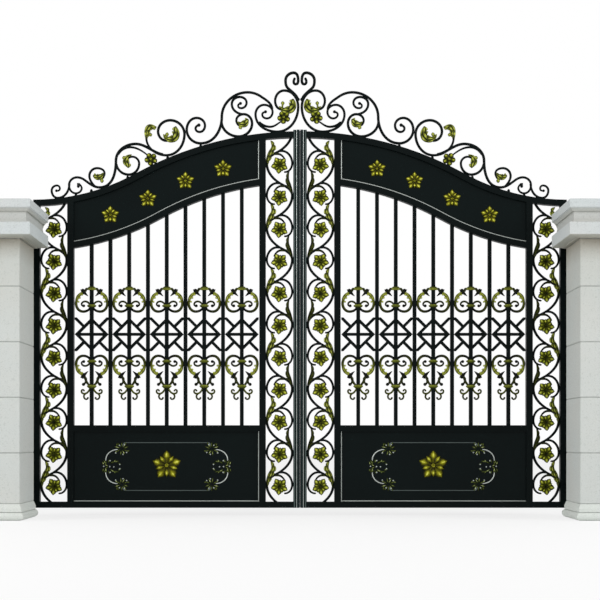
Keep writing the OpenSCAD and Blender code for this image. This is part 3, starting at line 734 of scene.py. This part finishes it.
def gold_material(name, dark, shade, body, bright):
    material, nodes, links, shader = new_material(name, 0.34, metallic=0.35, specular=0.12)
    patches = math_node(nodes, links, "MULTIPLY_ADD", noise(nodes, links, 55.0, 3.0), 0.5,
                        relief_of(nodes))
    shift = math_node(nodes, links, "SUBTRACT", patches, 0.25)
    colour = ramp(nodes, links, shift, [(0.06, dark), (0.36, shade), (0.68, body), (0.96, bright)])
    links.new(colour, shader.inputs["Base Color"])
    bump(nodes, links, shader, noise(nodes, links, 300.0, 3.0), 0.0004, 0.5)
    return material


gold_leaf = gold_material("antique_gold", (0.008, 0.010, 0.002), (0.045, 0.055, 0.006),
                          (0.150, 0.170, 0.018), (0.42, 0.46, 0.07))
BLADE_THICK = 17.0
BLADE_SECTION = [
    (1.0, 0.0, 0.0), (0.88, 0.60, 0.85), (0.62, 0.85, 1.0), (0.46, 0.45, 0.0), (0.32, 0.50, 0.0),
    (0.16, 0.90, 1.0), (-0.16, 0.90, 1.0), (-0.32, 0.50, 0.0), (-0.46, 0.45, 0.0), (-0.62, 0.85, 1.0),
    (-0.88, 0.60, 0.85), (-1.0, 0.0, 0.0), (-0.88, -0.60, 0.85), (-0.62, -0.85, 1.0), (-0.46, -0.45, 0.0),
    (-0.32, -0.50, 0.0), (-0.16, -0.90, 1.0), (0.16, -0.90, 1.0), (0.32, -0.50, 0.0), (0.46, -0.45, 0.0),
    (0.62, -0.85, 1.0), (0.88, -0.60, 0.85),
]


def ribbed_leaf(total, stations, width, lobes, side, belly=0.62, root=0.34, tone=1.0):
    # One edge runs smoothly, the other swings out in lobes that lean towards the tip
    line = trace_bar(stations, 4.0)
    last = len(line) - 1
    rings = []
    tones = []
    for i, (place, along) in enumerate(line):
        share = i / last
        if share < belly:
            swell = root + (1 - root) * math.sin(math.pi / 2 * share / belly) ** 1.5
        else:
            swell = max(0.06, math.cos(math.pi / 2 * (share - belly) / (1 - belly))) ** 0.6
        beat = abs(math.sin(math.pi * lobes * max(0.0, share - 0.15) / 0.85)) if share > 0.15 else 0.6
        smooth = width / 2 * swell
        lobed = smooth * (1 - 0.50 * (1 - beat) ** 1.6)
        left = Vector((-along.y, along.x)) * side
        middle = place + left * (lobed - smooth) / 2
        thick = BLADE_THICK / 2 * (0.45 + 0.55 * math.sin(math.pi * min(1.0, share * 0.75 + 0.2)))
        ring = section_place(middle, along, (smooth + lobed) / 2, thick)
        lean = along * side * (smooth + lobed) / 2 * 0.45
        ring[0][0] += lean.x
        ring[2][0] += lean.y
        rings.append(ring)
        tones.append(tone * (0.35 + 0.75 * beat))
    pour(total, sweep_rings(rings, BLADE_SECTION, tones=tones))


BUD_SECTION = [
    (1.0, 0.0, 0.2), (0.7, 0.7, 0.6), (0.0, 1.0, 1.0), (-0.7, 0.7, 0.6),
    (-1.0, 0.0, 0.2), (-0.7, -0.7, 0.6), (0.0, -1.0, 1.0), (0.7, -0.7, 0.6),
]


def bud(total, stations, width, tone=1.0):
    # A short stalk that ends in a rounded knob
    line = trace_bar(stations, 4.0)
    last = len(line) - 1
    rings = []
    tones = []
    for i, (place, along) in enumerate(line):
        knob = math.sin(math.pi * min(1, max(0, i / last - 0.45) / 0.5))
        half = width / 2 * (0.50 + 0.50 * knob)
        half = half if i < last else half * 0.5
        rings.append(section_place(place, along, half, 6.5 * (0.7 + 0.3 * half * 2 / width)))
        tones.append(tone * (0.45 + 0.55 * half * 2 / width))
    pour(total, sweep_rings(rings, BUD_SECTION, tones=tones))


# Stations, width, number of lobes and the side they are on
CROWN_LEAVES = [
    ([(142, 3008, 264), (100, 2986, 180), (50, 3066, 84)], 72, 3, -1),
    ([(464, 2896, 250), (428, 2882, 180), (384, 2912, 130)], 62, 2, -1),
    ([(1012, 2798, 264), (972, 2768, 178), (930, 2860, 84)], 70, 3, -1),
    ([(1148, 2764, 92), (1132, 2838, 115), (1074, 2856, 168)], 56, 3, 1),
    ([(1262, 2640, 350), (1294, 2614, 295), (1286, 2548, 262)], 58, 2, -1),
    ([(1468, 2508, 330), (1506, 2484, 350), (1550, 2490, 30)], 54, 2, 1),
]
CROWN_BUDS = [
    [(131, 3000, 100), (127, 3048, 88)],
    [(456, 2884, 280), (440, 2838, 262)],
    [(1002, 2766, 100), (994, 2814, 88)],
    [(1142, 2782, 130), (1106, 2796, 190)],
    [(1284, 2626, 20), (1330, 2618, 330)],
    [(1476, 2488, 290), (1482, 2436, 262)],
]
VINE_LEAF = {
    1: ([(94, -8, 92), (66, 84, 112), (46, 138, 92), (66, 190, 62)], 46, 4, 1, 0.85),
    -1: ([(97, -6, 94), (70, 92, 108), (58, 146, 84), (74, 196, 58)], 34, 3, 1, 0.36),
}
TOP_CLEARANCE = 10


def leaves_mesh():
    total = bmesh.new()
    for stations, width, lobes, side in CROWN_LEAVES:
        ribbed_leaf(total, stations, width, lobes, side, tone=0.88)
    for stations in CROWN_BUDS:
        bud(total, stations, 28)
    for u, count in BAYS:
        for flip, v in half_turns(count):
            room = rail_height(u * MM + flip * 0.07, 0.045) / MM - v - TOP_CLEARANCE
            stations, width, lobes, side, tone = VINE_LEAF[flip]
            # The tip stays lower where the rail leaves too little room for it
            stations = [(x, min(y, room - 14 * (len(stations) - 1 - i)), turn)
                        for i, (x, y, turn) in enumerate(stations)]
            ribbed_leaf(total, turned(stations, flip, u, v), width, lobes, side * flip, belly=0.50,
                        root=0.42, tone=tone)
    to_leaf_metres(total)
    return total


for side in SIDES:
    leaf_piece(side, "cast_leaves", leaves_mesh(), gold_leaf, "leaves", smooth=60)

# Blossoms
# Every curl holds a cast blossom with five broad petals, a whorl of five buds and a
# boss in the middle. They look the same from the front and the back.
gold_flower = gold_material("blossom_gold", (0.008, 0.010, 0.001), (0.105, 0.117, 0.005),
                            (0.330, 0.360, 0.020), (0.80, 0.85, 0.17))


def petal(reach, start, width, thick, peak, spread, belly, base, plump=0.42, crisp=4.0, round_tip=False,
          fine=12):
    # A closed petal along x that widens to its belly, with an egg shaped bulge
    bm = bmesh.new()
    relief = bm.verts.layers.float.new("relief")
    bmesh.ops.create_uvsphere(bm, u_segments=fine, v_segments=9, radius=1.0)
    turn_part(bm, 90, "Y")
    for vert in bm.verts:
        round_part = max(1e-6, math.hypot(vert.co.y, vert.co.z))
        share = min(0.999, max(0.001, (vert.co.x + 1) / 2))
        side = vert.co.y / round_part
        lift = vert.co.z / round_part
        spot = math.copysign(abs(side) ** 1.5, side)
        if round_tip:
            outline = math.sin(math.pi * share ** (0.7 / belly)) ** 0.55
        else:
            rising = (belly / share) ** crisp
            falling = ((1 - belly) / (1 - share)) ** crisp
            outline = (rising + falling) ** (-1 / crisp) * 1.16
        hump = math.exp(-((share - peak) / spread) ** 2 - (spot / plump) ** 2)
        vert[relief] = abs(lift) ** 0.5 * (base + 0.20 * (1 - abs(spot)) + 0.80 * hump)
        vert.co = Vector((start + (reach - start) * share, width / 2 * spot * outline,
                          thick / 2 * lift * round_part ** 0.4 * (0.30 + 0.70 * hump)))
    return bm


PETALS = 5


def whorl(total, turn, **form):
    for i in range(PETALS):
        part = petal(**form)
        turn_part(part, turn + 360 / PETALS * i, "Z")
        pour(total, part)


def boss(total, radius, thick, ring):
    # A low dome with a raised ring around a pale dot
    part = bmesh.new()
    relief = part.verts.layers.float.new("relief")
    bmesh.ops.create_uvsphere(part, u_segments=14, v_segments=10, radius=1.0)
    for vert in part.verts:
        out = math.hypot(vert.co.x, vert.co.y)
        rim = math.exp(-((out - 0.55) / 0.16) ** 2)
        dot = math.exp(-(out / 0.2) ** 2)
        vert[relief] = (rim + dot) * ring
        lift = math.copysign(abs(vert.co.z) ** 0.5, vert.co.z) * thick / 2 * (0.6 + 0.4 * rim)
        vert.co = Vector((vert.co.x * radius, vert.co.y * radius, lift))
    pour(total, part)


def flower(radius, thick, turn, ring):
    total = bmesh.new()
    whorl(total, turn, reach=radius, start=radius * 0.04, width=radius * 0.71, thick=thick * 0.76,
          peak=0.69, spread=0.20, belly=0.64, crisp=3.0, base=0.02, plump=0.46)
    whorl(total, turn + 180 / PETALS, reach=radius * 0.78, start=radius * 0.10, width=radius * 0.50,
          thick=thick, peak=0.60, spread=0.25, belly=0.60, crisp=2.8, base=-0.04, plump=0.50)
    boss(total, radius * 0.17, thick * 0.62, ring)
    return total


def blossom(radius, thick, turn):
    # Drawn flat in XY, then stood up so that it faces the front and the back
    total = flower(radius, thick, turn, 0.15)
    turn_part(total, 90, "X")
    return total


def crown_blossom(radius, thick, turn):
    # Five separate club shaped petals with pale middles around a bright boss
    total = bmesh.new()
    whorl(total, turn, reach=radius, start=radius * 0.02, width=radius * 0.84, thick=thick * 0.8,
          peak=0.70, spread=0.19, belly=0.45, base=-0.05, round_tip=True)
    boss(total, radius * 0.24, thick, 0.95)
    turn_part(total, 90, "X")
    return total


PETAL_TURN = -83.0
BLOSSOM_R = 0.067
BLOSSOM_THICK = 0.034
CROWN_BLOSSOM_R = 0.050
CROWN_BLOSSOM_THICK = 0.032
CROWN_BLOSSOMS = [(119, 112), (1115, 53)]

for side in SIDES:
    bm = bmesh.new()
    for u, count in BAYS:
        for flip, v in half_turns(count):
            place_part(bm, blossom(BLOSSOM_R, BLOSSOM_THICK, PETAL_TURN), u * MM, 0.0, v * MM)
    for u, rise in CROWN_BLOSSOMS:
        place_part(bm, crown_blossom(CROWN_BLOSSOM_R, CROWN_BLOSSOM_THICK, PETAL_TURN), u * MM, 0.0,
                   rail_height(u * MM) + rise * MM)
    leaf_piece(side, "cast_blossoms", bm, gold_flower, "blossoms", smooth=70)

# Curls around the blossoms
# A cast curl rises from the stem over every blossom and thins out towards its tip.
# Its root is rubbed with gold like the scrolls on the pickets, and its tip is black.
CURL_BAR = [(80, 62, 115), (15, 84, 180), (-40, 42, 245)]
CURL_W = 19
CURL_TIP_W = 12


def rubbed_material():
    material, nodes, links, shader = new_material("rubbed_gold_black", 0.36, metallic=0.3, specular=0.12)
    patches = map_range(nodes, links, noise(nodes, links, 40.0, 3.0), 0.55, 1.35)
    rub = ramp(nodes, links, math_node(nodes, links, "MULTIPLY", relief_of(nodes), patches),
               [(0.10, (0.003, 0.004, 0.003)), (0.50, (0.040, 0.046, 0.006)),
                (0.95, (0.190, 0.210, 0.022))])
    links.new(rub, shader.inputs["Base Color"])
    bump(nodes, links, shader, noise(nodes, links, 300.0, 2.0), 0.0003, 0.4)
    return material


rubbed_gold = rubbed_material()


def vine_curls(u, count):
    total = bmesh.new()
    for flip, v in half_turns(count):
        bar(total, turned(CURL_BAR, flip, u, v), CURL_W, CURL_TIP_W, depth=13.6, gilt_and_sheen=(0.55, -0.15))
    cut_under_rail(total, u)
    to_leaf_metres(total)
    return total


for side in SIDES:
    bm = bmesh.new()
    for u, count in BAYS:
        pour(bm, vine_curls(u, count))
    leaf_piece(side, "vine_curls", bm, rubbed_gold)

# Scroll ornaments on the pickets
# Above and below each diamond a pair of scrolls is held to its picket by two collars.
# The bars are black rubbed with gold, and a leaf clasps the outer side of each ring.
PICKET_PITCH = 140.69
PANEL_MID = 996.75
ORNAMENT_COLUMNS = [PANEL_MID + (i - 5) * PICKET_PITCH for i in (1, 3, 5, 7, 9)]
# Height of the first collar, way up and distance to the second collar
ORNAMENT_AT = [(1096.9, 1, 190.0), (1512.7, -1, 132.0)]
# Stations, width at both ends, knob and gilding at both ends
RING_BARS = [
    ([(10, 10, 70), (64, 42, 0), (117, -18, 270), (70, -100, 222)], 17, 19, 1.0, (-0.05, 1.15)),
    ([(10, -8, 310), (49, -34, 0), (76, -12, 90), (60, -1, 190)], 14, 12, 1.9, (0.5, 0.0)),
    ([(68, -116, 128), (28, -75, 143)], 30, 5, 1.0, (0.0, 0.1)),
    ([(60, -98, 300), (82, -122, 315)], 25, 6, 1.0, (0.1, 0.0)),
]
TAIL_BARS = [
    ([(42, -126, 280), (48, -158, 300), (62, -172, 0)], 15, 13, 1.9, (0.4, 0.0)),
    ([(12, -204, 300), (44, -240, 340), (77, -224, 90), (66, -212, 180), (58, -219, 270)], 14, 11, 1.3,
     (0.7, 0.4)),
    ([(42, -238, 320), (59, -262, 270), (40, -284, 180), (29, -274, 90)], 13, 11, 1.4, (0.5, 0.3)),
]
CLASP_LEAF = [(58, -108, 32), (103, -70, 58), (114, -4, 98)]
FINGERS = [
    [(112, -40, 140), (92, -30, 175)],
    [(106, -70, 130), (82, -60, 172)],
    [(90, -92, 120), (64, -84, 165)],
]


def mirrored(stations):
    return [(-x, y, 180 - turn) for x, y, turn in stations]


def placed(stations, u, v, flip):
    if flip > 0:
        return [(u + x, v + y, turn) for x, y, turn in stations]
    return [(u + x, v - y, -turn) for x, y, turn in stations]


def ornament_bars(total, u, v, flip, stem):
    middle = -140 if flip > 0 else -122
    stem_bar = ([(70, -100, 222), (44, middle, 262), (14, -stem, 250)], 21, 14, 1.0, (0.1, 0.65))
    tail = TAIL_BARS if flip > 0 else []
    for stations, width, end_width, knob, gilt_and_sheen in RING_BARS + [stem_bar] + tail:
        for half in (stations, mirrored(stations)):
            bar(total, placed(half, u, v, flip), width, end_width, depth=15, knob=knob, step=9.0,
                sides=8, gilt_and_sheen=gilt_and_sheen)


def ornament_leaves(total, u, v, flip):
    for across in (-1, 1):
        leaf, *fingers = [mirrored(part) if across < 0 else part for part in [CLASP_LEAF] + FINGERS]
        ribbed_leaf(total, placed(leaf, u, v, flip), 24, 3, across * flip, belly=0.5, root=0.5, tone=1.5)
        for finger in fingers:
            bud(total, placed(finger, u, v, flip), 16, tone=1.5)


for side in SIDES:
    bars_bm = bmesh.new()
    leaves_bm = bmesh.new()
    for u in ORNAMENT_COLUMNS:
        for v, flip, stem in ORNAMENT_AT:
            ornament_bars(bars_bm, u, v, flip, stem)
            ornament_leaves(leaves_bm, u, v, flip)
    to_leaf_metres(bars_bm)
    to_leaf_metres(leaves_bm)
    leaf_piece(side, "scroll_bars", bars_bm, rubbed_gold, "picket_scrolls")
    leaf_piece(side, "scroll_leaves", leaves_bm, gold_leaf, smooth=60)

# Collars
# A cast collar closes around the picket over the roots of each pair of scrolls. It
# swells at its rim and is brushed gold.
BOWL = [(17, -14), (22, -13), (28, -7), (35, -1), (37, 4), (36, 8), (31, 10), (29, 12), (22, 14),
        (17, 14)]
LENS = [(17, -13), (24, -11), (31, -6), (36, -1), (36, 2), (31, 7), (24, 11), (17, 13)]


def collar(profile, flip):
    bm = bmesh.new()
    relief = bm.verts.layers.float.new("relief")
    points = []
    for radius, height in profile:
        vert = bm.verts.new((radius * MM, 0, height * MM * flip))
        vert[relief] = 0.25 + 0.6 * (height + 14) / 28 * (radius > 18)
        points.append(vert)
    edges = [bm.edges.new(pair) for pair in zip(points, points[1:])]
    bmesh.ops.spin(bm, geom=points + edges, axis=Vector((0, 0, 1)), cent=Vector((0, 0, 0)),
                   angle=math.radians(360), steps=20, use_merge=True)
    bmesh.ops.remove_doubles(bm, verts=bm.verts, dist=1e-5)
    bmesh.ops.scale(bm, vec=Vector((1.0, 0.66, 1.0)), verts=bm.verts)
    close_ends(bm)
    return bm


for side in SIDES:
    bm = bmesh.new()
    for u in ORNAMENT_COLUMNS:
        for v, flip, stem in ORNAMENT_AT:
            place_part(bm, collar(LENS, 1), u * MM, 0.0, v * MM)
            place_part(bm, collar(BOWL, flip), u * MM, 0.0, (v - flip * stem) * MM)
    leaf_piece(side, "cast_collars", bm, gold_leaf, "collars")

# Rosettes on the panels
# Cast rosettes with pointed petals are riveted to both faces of the panels: one
# above every second picket and a large one in the middle of the foot panel.
gold_rosette = gold_material("rosette_gold", (0.012, 0.011, 0.001), (0.105, 0.102, 0.003),
                             (0.340, 0.335, 0.013), (0.90, 0.90, 0.16))
PANEL_HALF = 0.006
ROSETTE_DROP = 0.206
LARGE_ROSETTE_V = 0.3175


def onto_panel(total, face):
    # Keeps the front half of a casting and stands it on the panel's front or back
    cut_and_close(total, Vector((0, 0, 0)), Vector((0, 0, -1)))
    turn_part(total, 90, "X")
    if face > 0:
        turn_part(total, 180, "Z")
    return total


def rosette(radius, thick, face):
    return onto_panel(flower(radius, thick * 2, 90, 0.75), face)


for side in SIDES:
    bm = bmesh.new()
    for face in (-1, 1):
        for i in (2, 4, 6, 8):
            u = (PANEL_MID + (i - 5) * PICKET_PITCH) * MM
            place_part(bm, rosette(0.070, 0.015, face), u, face * PANEL_HALF,
                       rail_height(u, ROSETTE_DROP))
        place_part(bm, rosette(0.113, 0.018, face), PANEL_MID * MM, face * PANEL_HALF, LARGE_ROSETTE_V)
    leaf_piece(side, "cast_rosettes", bm, gold_rosette, "rosettes", smooth=70)

# Beads and lines on the panels
# Half round beads edge the panels along the arch, the meeting side and the foot, and a
# thinner line runs around the large rosette. The beads are painted pale silver all along
# as a highlight on those edges.
BEAD_ON = 6.0
BEAD_W = 9.5
BEAD_OUT = 5.0
LINE_W = 7.0
LINE_OUT = 3.0
BAY_FROM = 302.0
BAY_TO = 1691.5
ARCH_DROP = 338.0
FOOT_FROM = 45.0
FOOT_TO = 572.0
LINE_REACH = 304.3
LINE_RISE = 179.2
LINE_MID = 308.5
# Start and end of each curl from the line's corner, and how far it is rubbed bright
CORNER_CURLS = [(0, 0, 26, 24, 0.3), (66, 52, 153, 132, 0.9)]


def line_material():
    material, nodes, links, shader = new_material("panel_line", 0.34, metallic=0.4, specular=0.3)
    worn = blend(nodes, links, noise(nodes, links, 14.0, 3.0), (0.75, 0.75, 0.75), (1.1, 1.1, 1.1))
    tone = ramp(nodes, links, relief_of(nodes),
                [(0.0, (0.045, 0.062, 0.058)), (0.5, (0.20, 0.24, 0.23)), (1.0, (0.64, 0.68, 0.64))])
    links.new(blend(nodes, links, 1.0, tone, worn, "MULTIPLY"), shader.inputs["Base Color"])
    return material


def sweep_line(total, line, width, depth, gilt_and_sheen):
    rings = [section_place(place, along, width / 2, depth) for place, along in line]
    pour(total, sweep_rings(rings, gilt_and_sheen=(gilt_and_sheen, gilt_and_sheen)))


def straight(x0, y0, x1, y1):
    start, end = Vector((x0, y0)), Vector((x1, y1))
    return [(start, (end - start).normalized()), (end, (end - start).normalized())]


def arch_line(drop):
    # Follows the top rail's two arcs at a constant drop
    line = []
    steps = 60
    for i in range(steps + 1):
        u = BAY_FROM + (BAY_TO - BAY_FROM) * i / steps
        here = rail_height(u * MM, drop * MM) / MM
        ahead = rail_height((u + 1) * MM, drop * MM) / MM
        line.append((Vector((u, here)), Vector((1, ahead - here)).normalized()))
    return line


def lines_mesh():
    total = bmesh.new()
    bead_u = BAY_FROM + BEAD_W / 2
    bead_foot = FOOT_FROM + BEAD_W / 2
    # The arch, meeting side and foot beads are set bright all along: a painted highlight
    sweep_line(total, arch_line(ARCH_DROP - BEAD_W / 2), BEAD_W, BEAD_OUT, 0.88)
    arch_low = rail_height(bead_u * MM, ARCH_DROP * MM) / MM
    arch_high = rail_height(bead_u * MM, FOOT_FROM * MM) / MM
    for ends in ((bead_u, arch_low, bead_u, arch_high), (bead_u, FOOT_FROM, bead_u, FOOT_TO),
                 (BAY_FROM, bead_foot, BAY_TO, bead_foot)):
        sweep_line(total, straight(*ends), BEAD_W, BEAD_OUT, 0.8)
    for rise in (-1, 1):
        level = LINE_MID + rise * LINE_RISE
        line = straight(PANEL_MID - LINE_REACH, level, PANEL_MID + LINE_REACH, level)
        sweep_line(total, line, LINE_W, LINE_OUT, 0.12)
        for across in (-1, 1):
            for near, low, far, high, gilt_and_sheen in CORNER_CURLS:
                curl = [(LINE_REACH + near, LINE_RISE - low, 0),
                        (LINE_REACH + far, LINE_RISE - high, 270)]
                curl = [(x, rise * y, rise * turn) for x, y, turn in curl]
                curl = [(PANEL_MID + across * x, LINE_MID + y, turn if across > 0 else 180 - turn)
                        for x, y, turn in curl]
                bar(total, curl, LINE_W, LINE_W, depth=6.0, step=8.0, sides=8, gilt_and_sheen=(gilt_and_sheen, gilt_and_sheen))
    return total


panel_line = line_material()
for side in SIDES:
    bm = bmesh.new()
    for face in (-1, 1):
        place_part(bm, lines_mesh(), 0.0, face * BEAD_ON, 0.0)
    to_leaf_metres(bm)
    leaf_piece(side, "panel_beads", bm, panel_line, "mouldings")

# Leaf sprays of the foot panel
# Small cast sprays cover the corners and ends of the raised line around the large
# rosette, each with narrow leaves and round berries.


def spray_leaf(total, x, y, angle, length, width, tone):
    part = petal(length, 0.0, width, 0.016, peak=0.5, spread=0.3, belly=0.55, base=0.2, plump=0.7,
                 crisp=1.8, fine=8)
    relief = part.verts.layers.float["relief"]
    for vert in part.verts:
        vert[relief] *= tone
    turn_part(part, angle, "Z")
    place_part(total, part, x, y, 0.0)


BERRY_R = 0.0068


def berry(total, x, y):
    part = bmesh.new()
    relief = part.verts.layers.float.new("relief")
    bmesh.ops.create_uvsphere(part, u_segments=8, v_segments=6, radius=BERRY_R)
    for vert in part.verts:
        vert[relief] = 0.9 * (vert.co.z / BERRY_R)
    place_part(total, part, x, y, 0.003)


# Place, direction and length of each leaf of a spray in mm, x towards the rosette
CORNER_LEAVES = [
    (-8, -6, 205, 44), (-12, 4, 165, 44), (-4, 8, 130, 46), (2, 6, 95, 44), (8, 4, 60, 48),
    (10, -2, 25, 44), (8, -8, 340, 46), (2, -10, 300, 42), (-4, -10, 262, 44), (-34, 14, 100, 28),
    (-36, -14, 240, 28), (32, -24, 20, 28), (26, 24, 80, 26),
]
CORNER_BERRIES = [(-46, -33), (9, -44), (-17, 24), (36, -30), (20, 30)]
END_LEAVES = [
    (-34, 2, 80, 46), (-34, -2, 280, 46), (-26, 12, 118, 44), (-26, -12, 242, 44), (-10, 0, 150, 34),
    (-10, 0, 210, 34), (0, 20, 30, 44), (0, -20, 330, 44), (26, 34, 10, 44), (26, -34, 350, 44),
    (30, 30, 60, 26), (30, -30, 300, 26), (58, 30, 330, 34), (58, -30, 30, 34), (-14, 26, 66, 34),
    (-14, -26, 294, 34), (-44, 10, 112, 32), (-44, -10, 248, 32), (12, 32, 140, 28), (12, -32, 220, 28),
]
END_BERRIES = [(-45, 2), (2, 44), (0, 0), (30, -2), (2, -44), (75, 16), (75, -16)]
spray_gold = gold_material("spray_gold", (0.010, 0.013, 0.003), (0.045, 0.060, 0.012),
                           (0.140, 0.175, 0.040), (0.52, 0.58, 0.26))


def spray(leaves, width, across, rise, face):
    total = bmesh.new()
    for i, (x, y, angle, length) in enumerate(leaves):
        if rise < 0:
            y, angle = -y, -angle
        if across > 0:
            x, angle = -x, 180 - angle
        spray_leaf(total, x * MM, y * MM, angle, length * MM, width, (0.6, 1.0, 0.75)[i % 3])
    return onto_panel(total, face)


def berries(places, across, rise, face):
    total = bmesh.new()
    for x, y in places:
        berry(total, -across * x * MM, rise * y * MM)
    return onto_panel(total, face)


# Leaves, berries, leaf width, place from the line's end and its middle, and way up
SPRAYS = [(END_LEAVES, END_BERRIES, 0.017, 122, 0, 1)]
SPRAYS += [(CORNER_LEAVES, CORNER_BERRIES, 0.018, 32, rise * (LINE_RISE - 44), rise) for rise in (-1, 1)]
for side in SIDES:
    leaves_bm = bmesh.new()
    berries_bm = bmesh.new()
    for face in (-1, 1):
        for across in (-1, 1):
            turn = -face * across
            for leaves, dots, width, out, up, rise in SPRAYS:
                u = (PANEL_MID + across * (LINE_REACH + out)) * MM
                v = (LINE_MID + up) * MM
                place_part(leaves_bm, spray(leaves, width, turn, rise, face), u, face * PANEL_HALF, v)
                place_part(berries_bm, berries(dots, turn, rise, face), u, face * PANEL_HALF, v)
    leaf_piece(side, "cast_sprays", leaves_bm, spray_gold, "panel_leaves", smooth=70)
    leaf_piece(side, "spray_berries", berries_bm, panel_line, smooth=70)

# Floor, light and camera
# A pale studio floor, a weak soft lamp in front and a strong one to each side, and a
# camera straight in front of the gate at the photograph's distance.
SCENE = bpy.context.scene
AWAY = 10.1
VIEW_W = 4.5
SENSOR_W = 36.0
EYE_Z = 0.5675
HORIZON = 440.0
FRAME_PX = 600.0
FILL_LIGHT = 0.62
FLOOR_GLOW = 0.72

floor_bm = bmesh.new()
bmesh.ops.create_grid(floor_bm, x_segments=1, y_segments=1, size=30.0)
bmesh.ops.translate(floor_bm, vec=Vector((GATEWAY_MID, 8.0, 0.0)), verts=floor_bm.verts)
floor_mesh = bpy.data.meshes.new("studio_floor")
floor_bm.to_mesh(floor_mesh)
floor_bm.free()
floor_material, floor_nodes, floor_links, floor_shader = new_material("pale_floor", 0.9, specular=0.1)
floor_tone = ramp(floor_nodes, floor_links, noise(floor_nodes, floor_links, 0.6, 2.0),
                  [(0.2, (0.93, 0.93, 0.93)), (0.8, (0.95, 0.95, 0.95))])
floor_links.new(floor_tone, floor_shader.inputs["Base Color"])
floor_white = floor_nodes.new("ShaderNodeEmission")
floor_white.inputs["Color"].default_value = (1.0, 1.0, 1.0, 1.0)
floor_path = floor_nodes.new("ShaderNodeLightPath")
floor_seen = math_node(floor_nodes, floor_links, "MAXIMUM", floor_path.outputs["Is Camera Ray"],
                       floor_path.outputs["Is Glossy Ray"])
floor_share = math_node(floor_nodes, floor_links, "MULTIPLY", floor_seen, FLOOR_GLOW)
floor_mix = floor_nodes.new("ShaderNodeMixShader")
floor_links.new(floor_share, floor_mix.inputs["Fac"])
floor_links.new(floor_shader.outputs["BSDF"], floor_mix.inputs[1])
floor_links.new(floor_white.outputs["Emission"], floor_mix.inputs[2])
floor_links.new(floor_mix.outputs["Shader"], floor_nodes["Material Output"].inputs["Surface"])
floor_mesh.materials.append(floor_material)
floor = bpy.data.objects.new("studio_floor", floor_mesh)
SCENE.collection.objects.link(floor)

world = bpy.data.worlds.new("studio")
SCENE.world = world
world.use_nodes = True
world_nodes = world.node_tree.nodes
world_links = world.node_tree.links
backdrop = world_nodes["Background"]
path = world_nodes.new("ShaderNodeLightPath")
seen = math_node(world_nodes, world_links, "MAXIMUM", path.outputs["Is Camera Ray"],
                 path.outputs["Is Glossy Ray"])
through = math_node(world_nodes, world_links, "MAXIMUM", seen, path.outputs["Is Transmission Ray"])
backdrop.inputs["Color"].default_value = (1.0, 1.0, 1.0, 1.0)
world_links.new(map_range(world_nodes, world_links, through, FILL_LIGHT, 1.0), backdrop.inputs["Strength"])


def soft_lamp(name, place, target, size, power):
    lamp = bpy.data.lights.new(name, "AREA")
    lamp.shape = "RECTANGLE"
    lamp.size, lamp.size_y = size
    lamp.energy = power
    holder = bpy.data.objects.new(name, lamp)
    holder.location = place
    holder.rotation_euler = (Vector(target) - Vector(place)).to_track_quat("-Z", "Y").to_euler()
    SCENE.collection.objects.link(holder)


soft_lamp("front_lamp", (1.6, -7.5, 8.0), (GATEWAY_MID, 0.2, 1.2), (6.0, 4.0), 80.0)
soft_lamp("left_lamp", (-8.0, -4.0, 4.5), (4.5, 0.2, 1.2), (4.0, 4.0), 440.0)
soft_lamp("right_lamp", (12.44, -4.0, 4.5), (-0.1, 0.2, 1.2), (4.0, 4.0), 440.0)

camera = bpy.data.cameras.new("camera")
camera.sensor_width = SENSOR_W
camera.lens = SENSOR_W * AWAY / VIEW_W
camera.shift_y = (HORIZON - FRAME_PX / 2) / FRAME_PX
camera_holder = bpy.data.objects.new("camera", camera)
camera_holder.location = (GATEWAY_MID, LEAF_Y - AWAY, EYE_Z)
camera_holder.rotation_euler = (math.radians(90), 0.0, 0.0)
SCENE.collection.objects.link(camera_holder)
SCENE.camera = camera_holder
SCENE.view_settings.view_transform = "Standard"
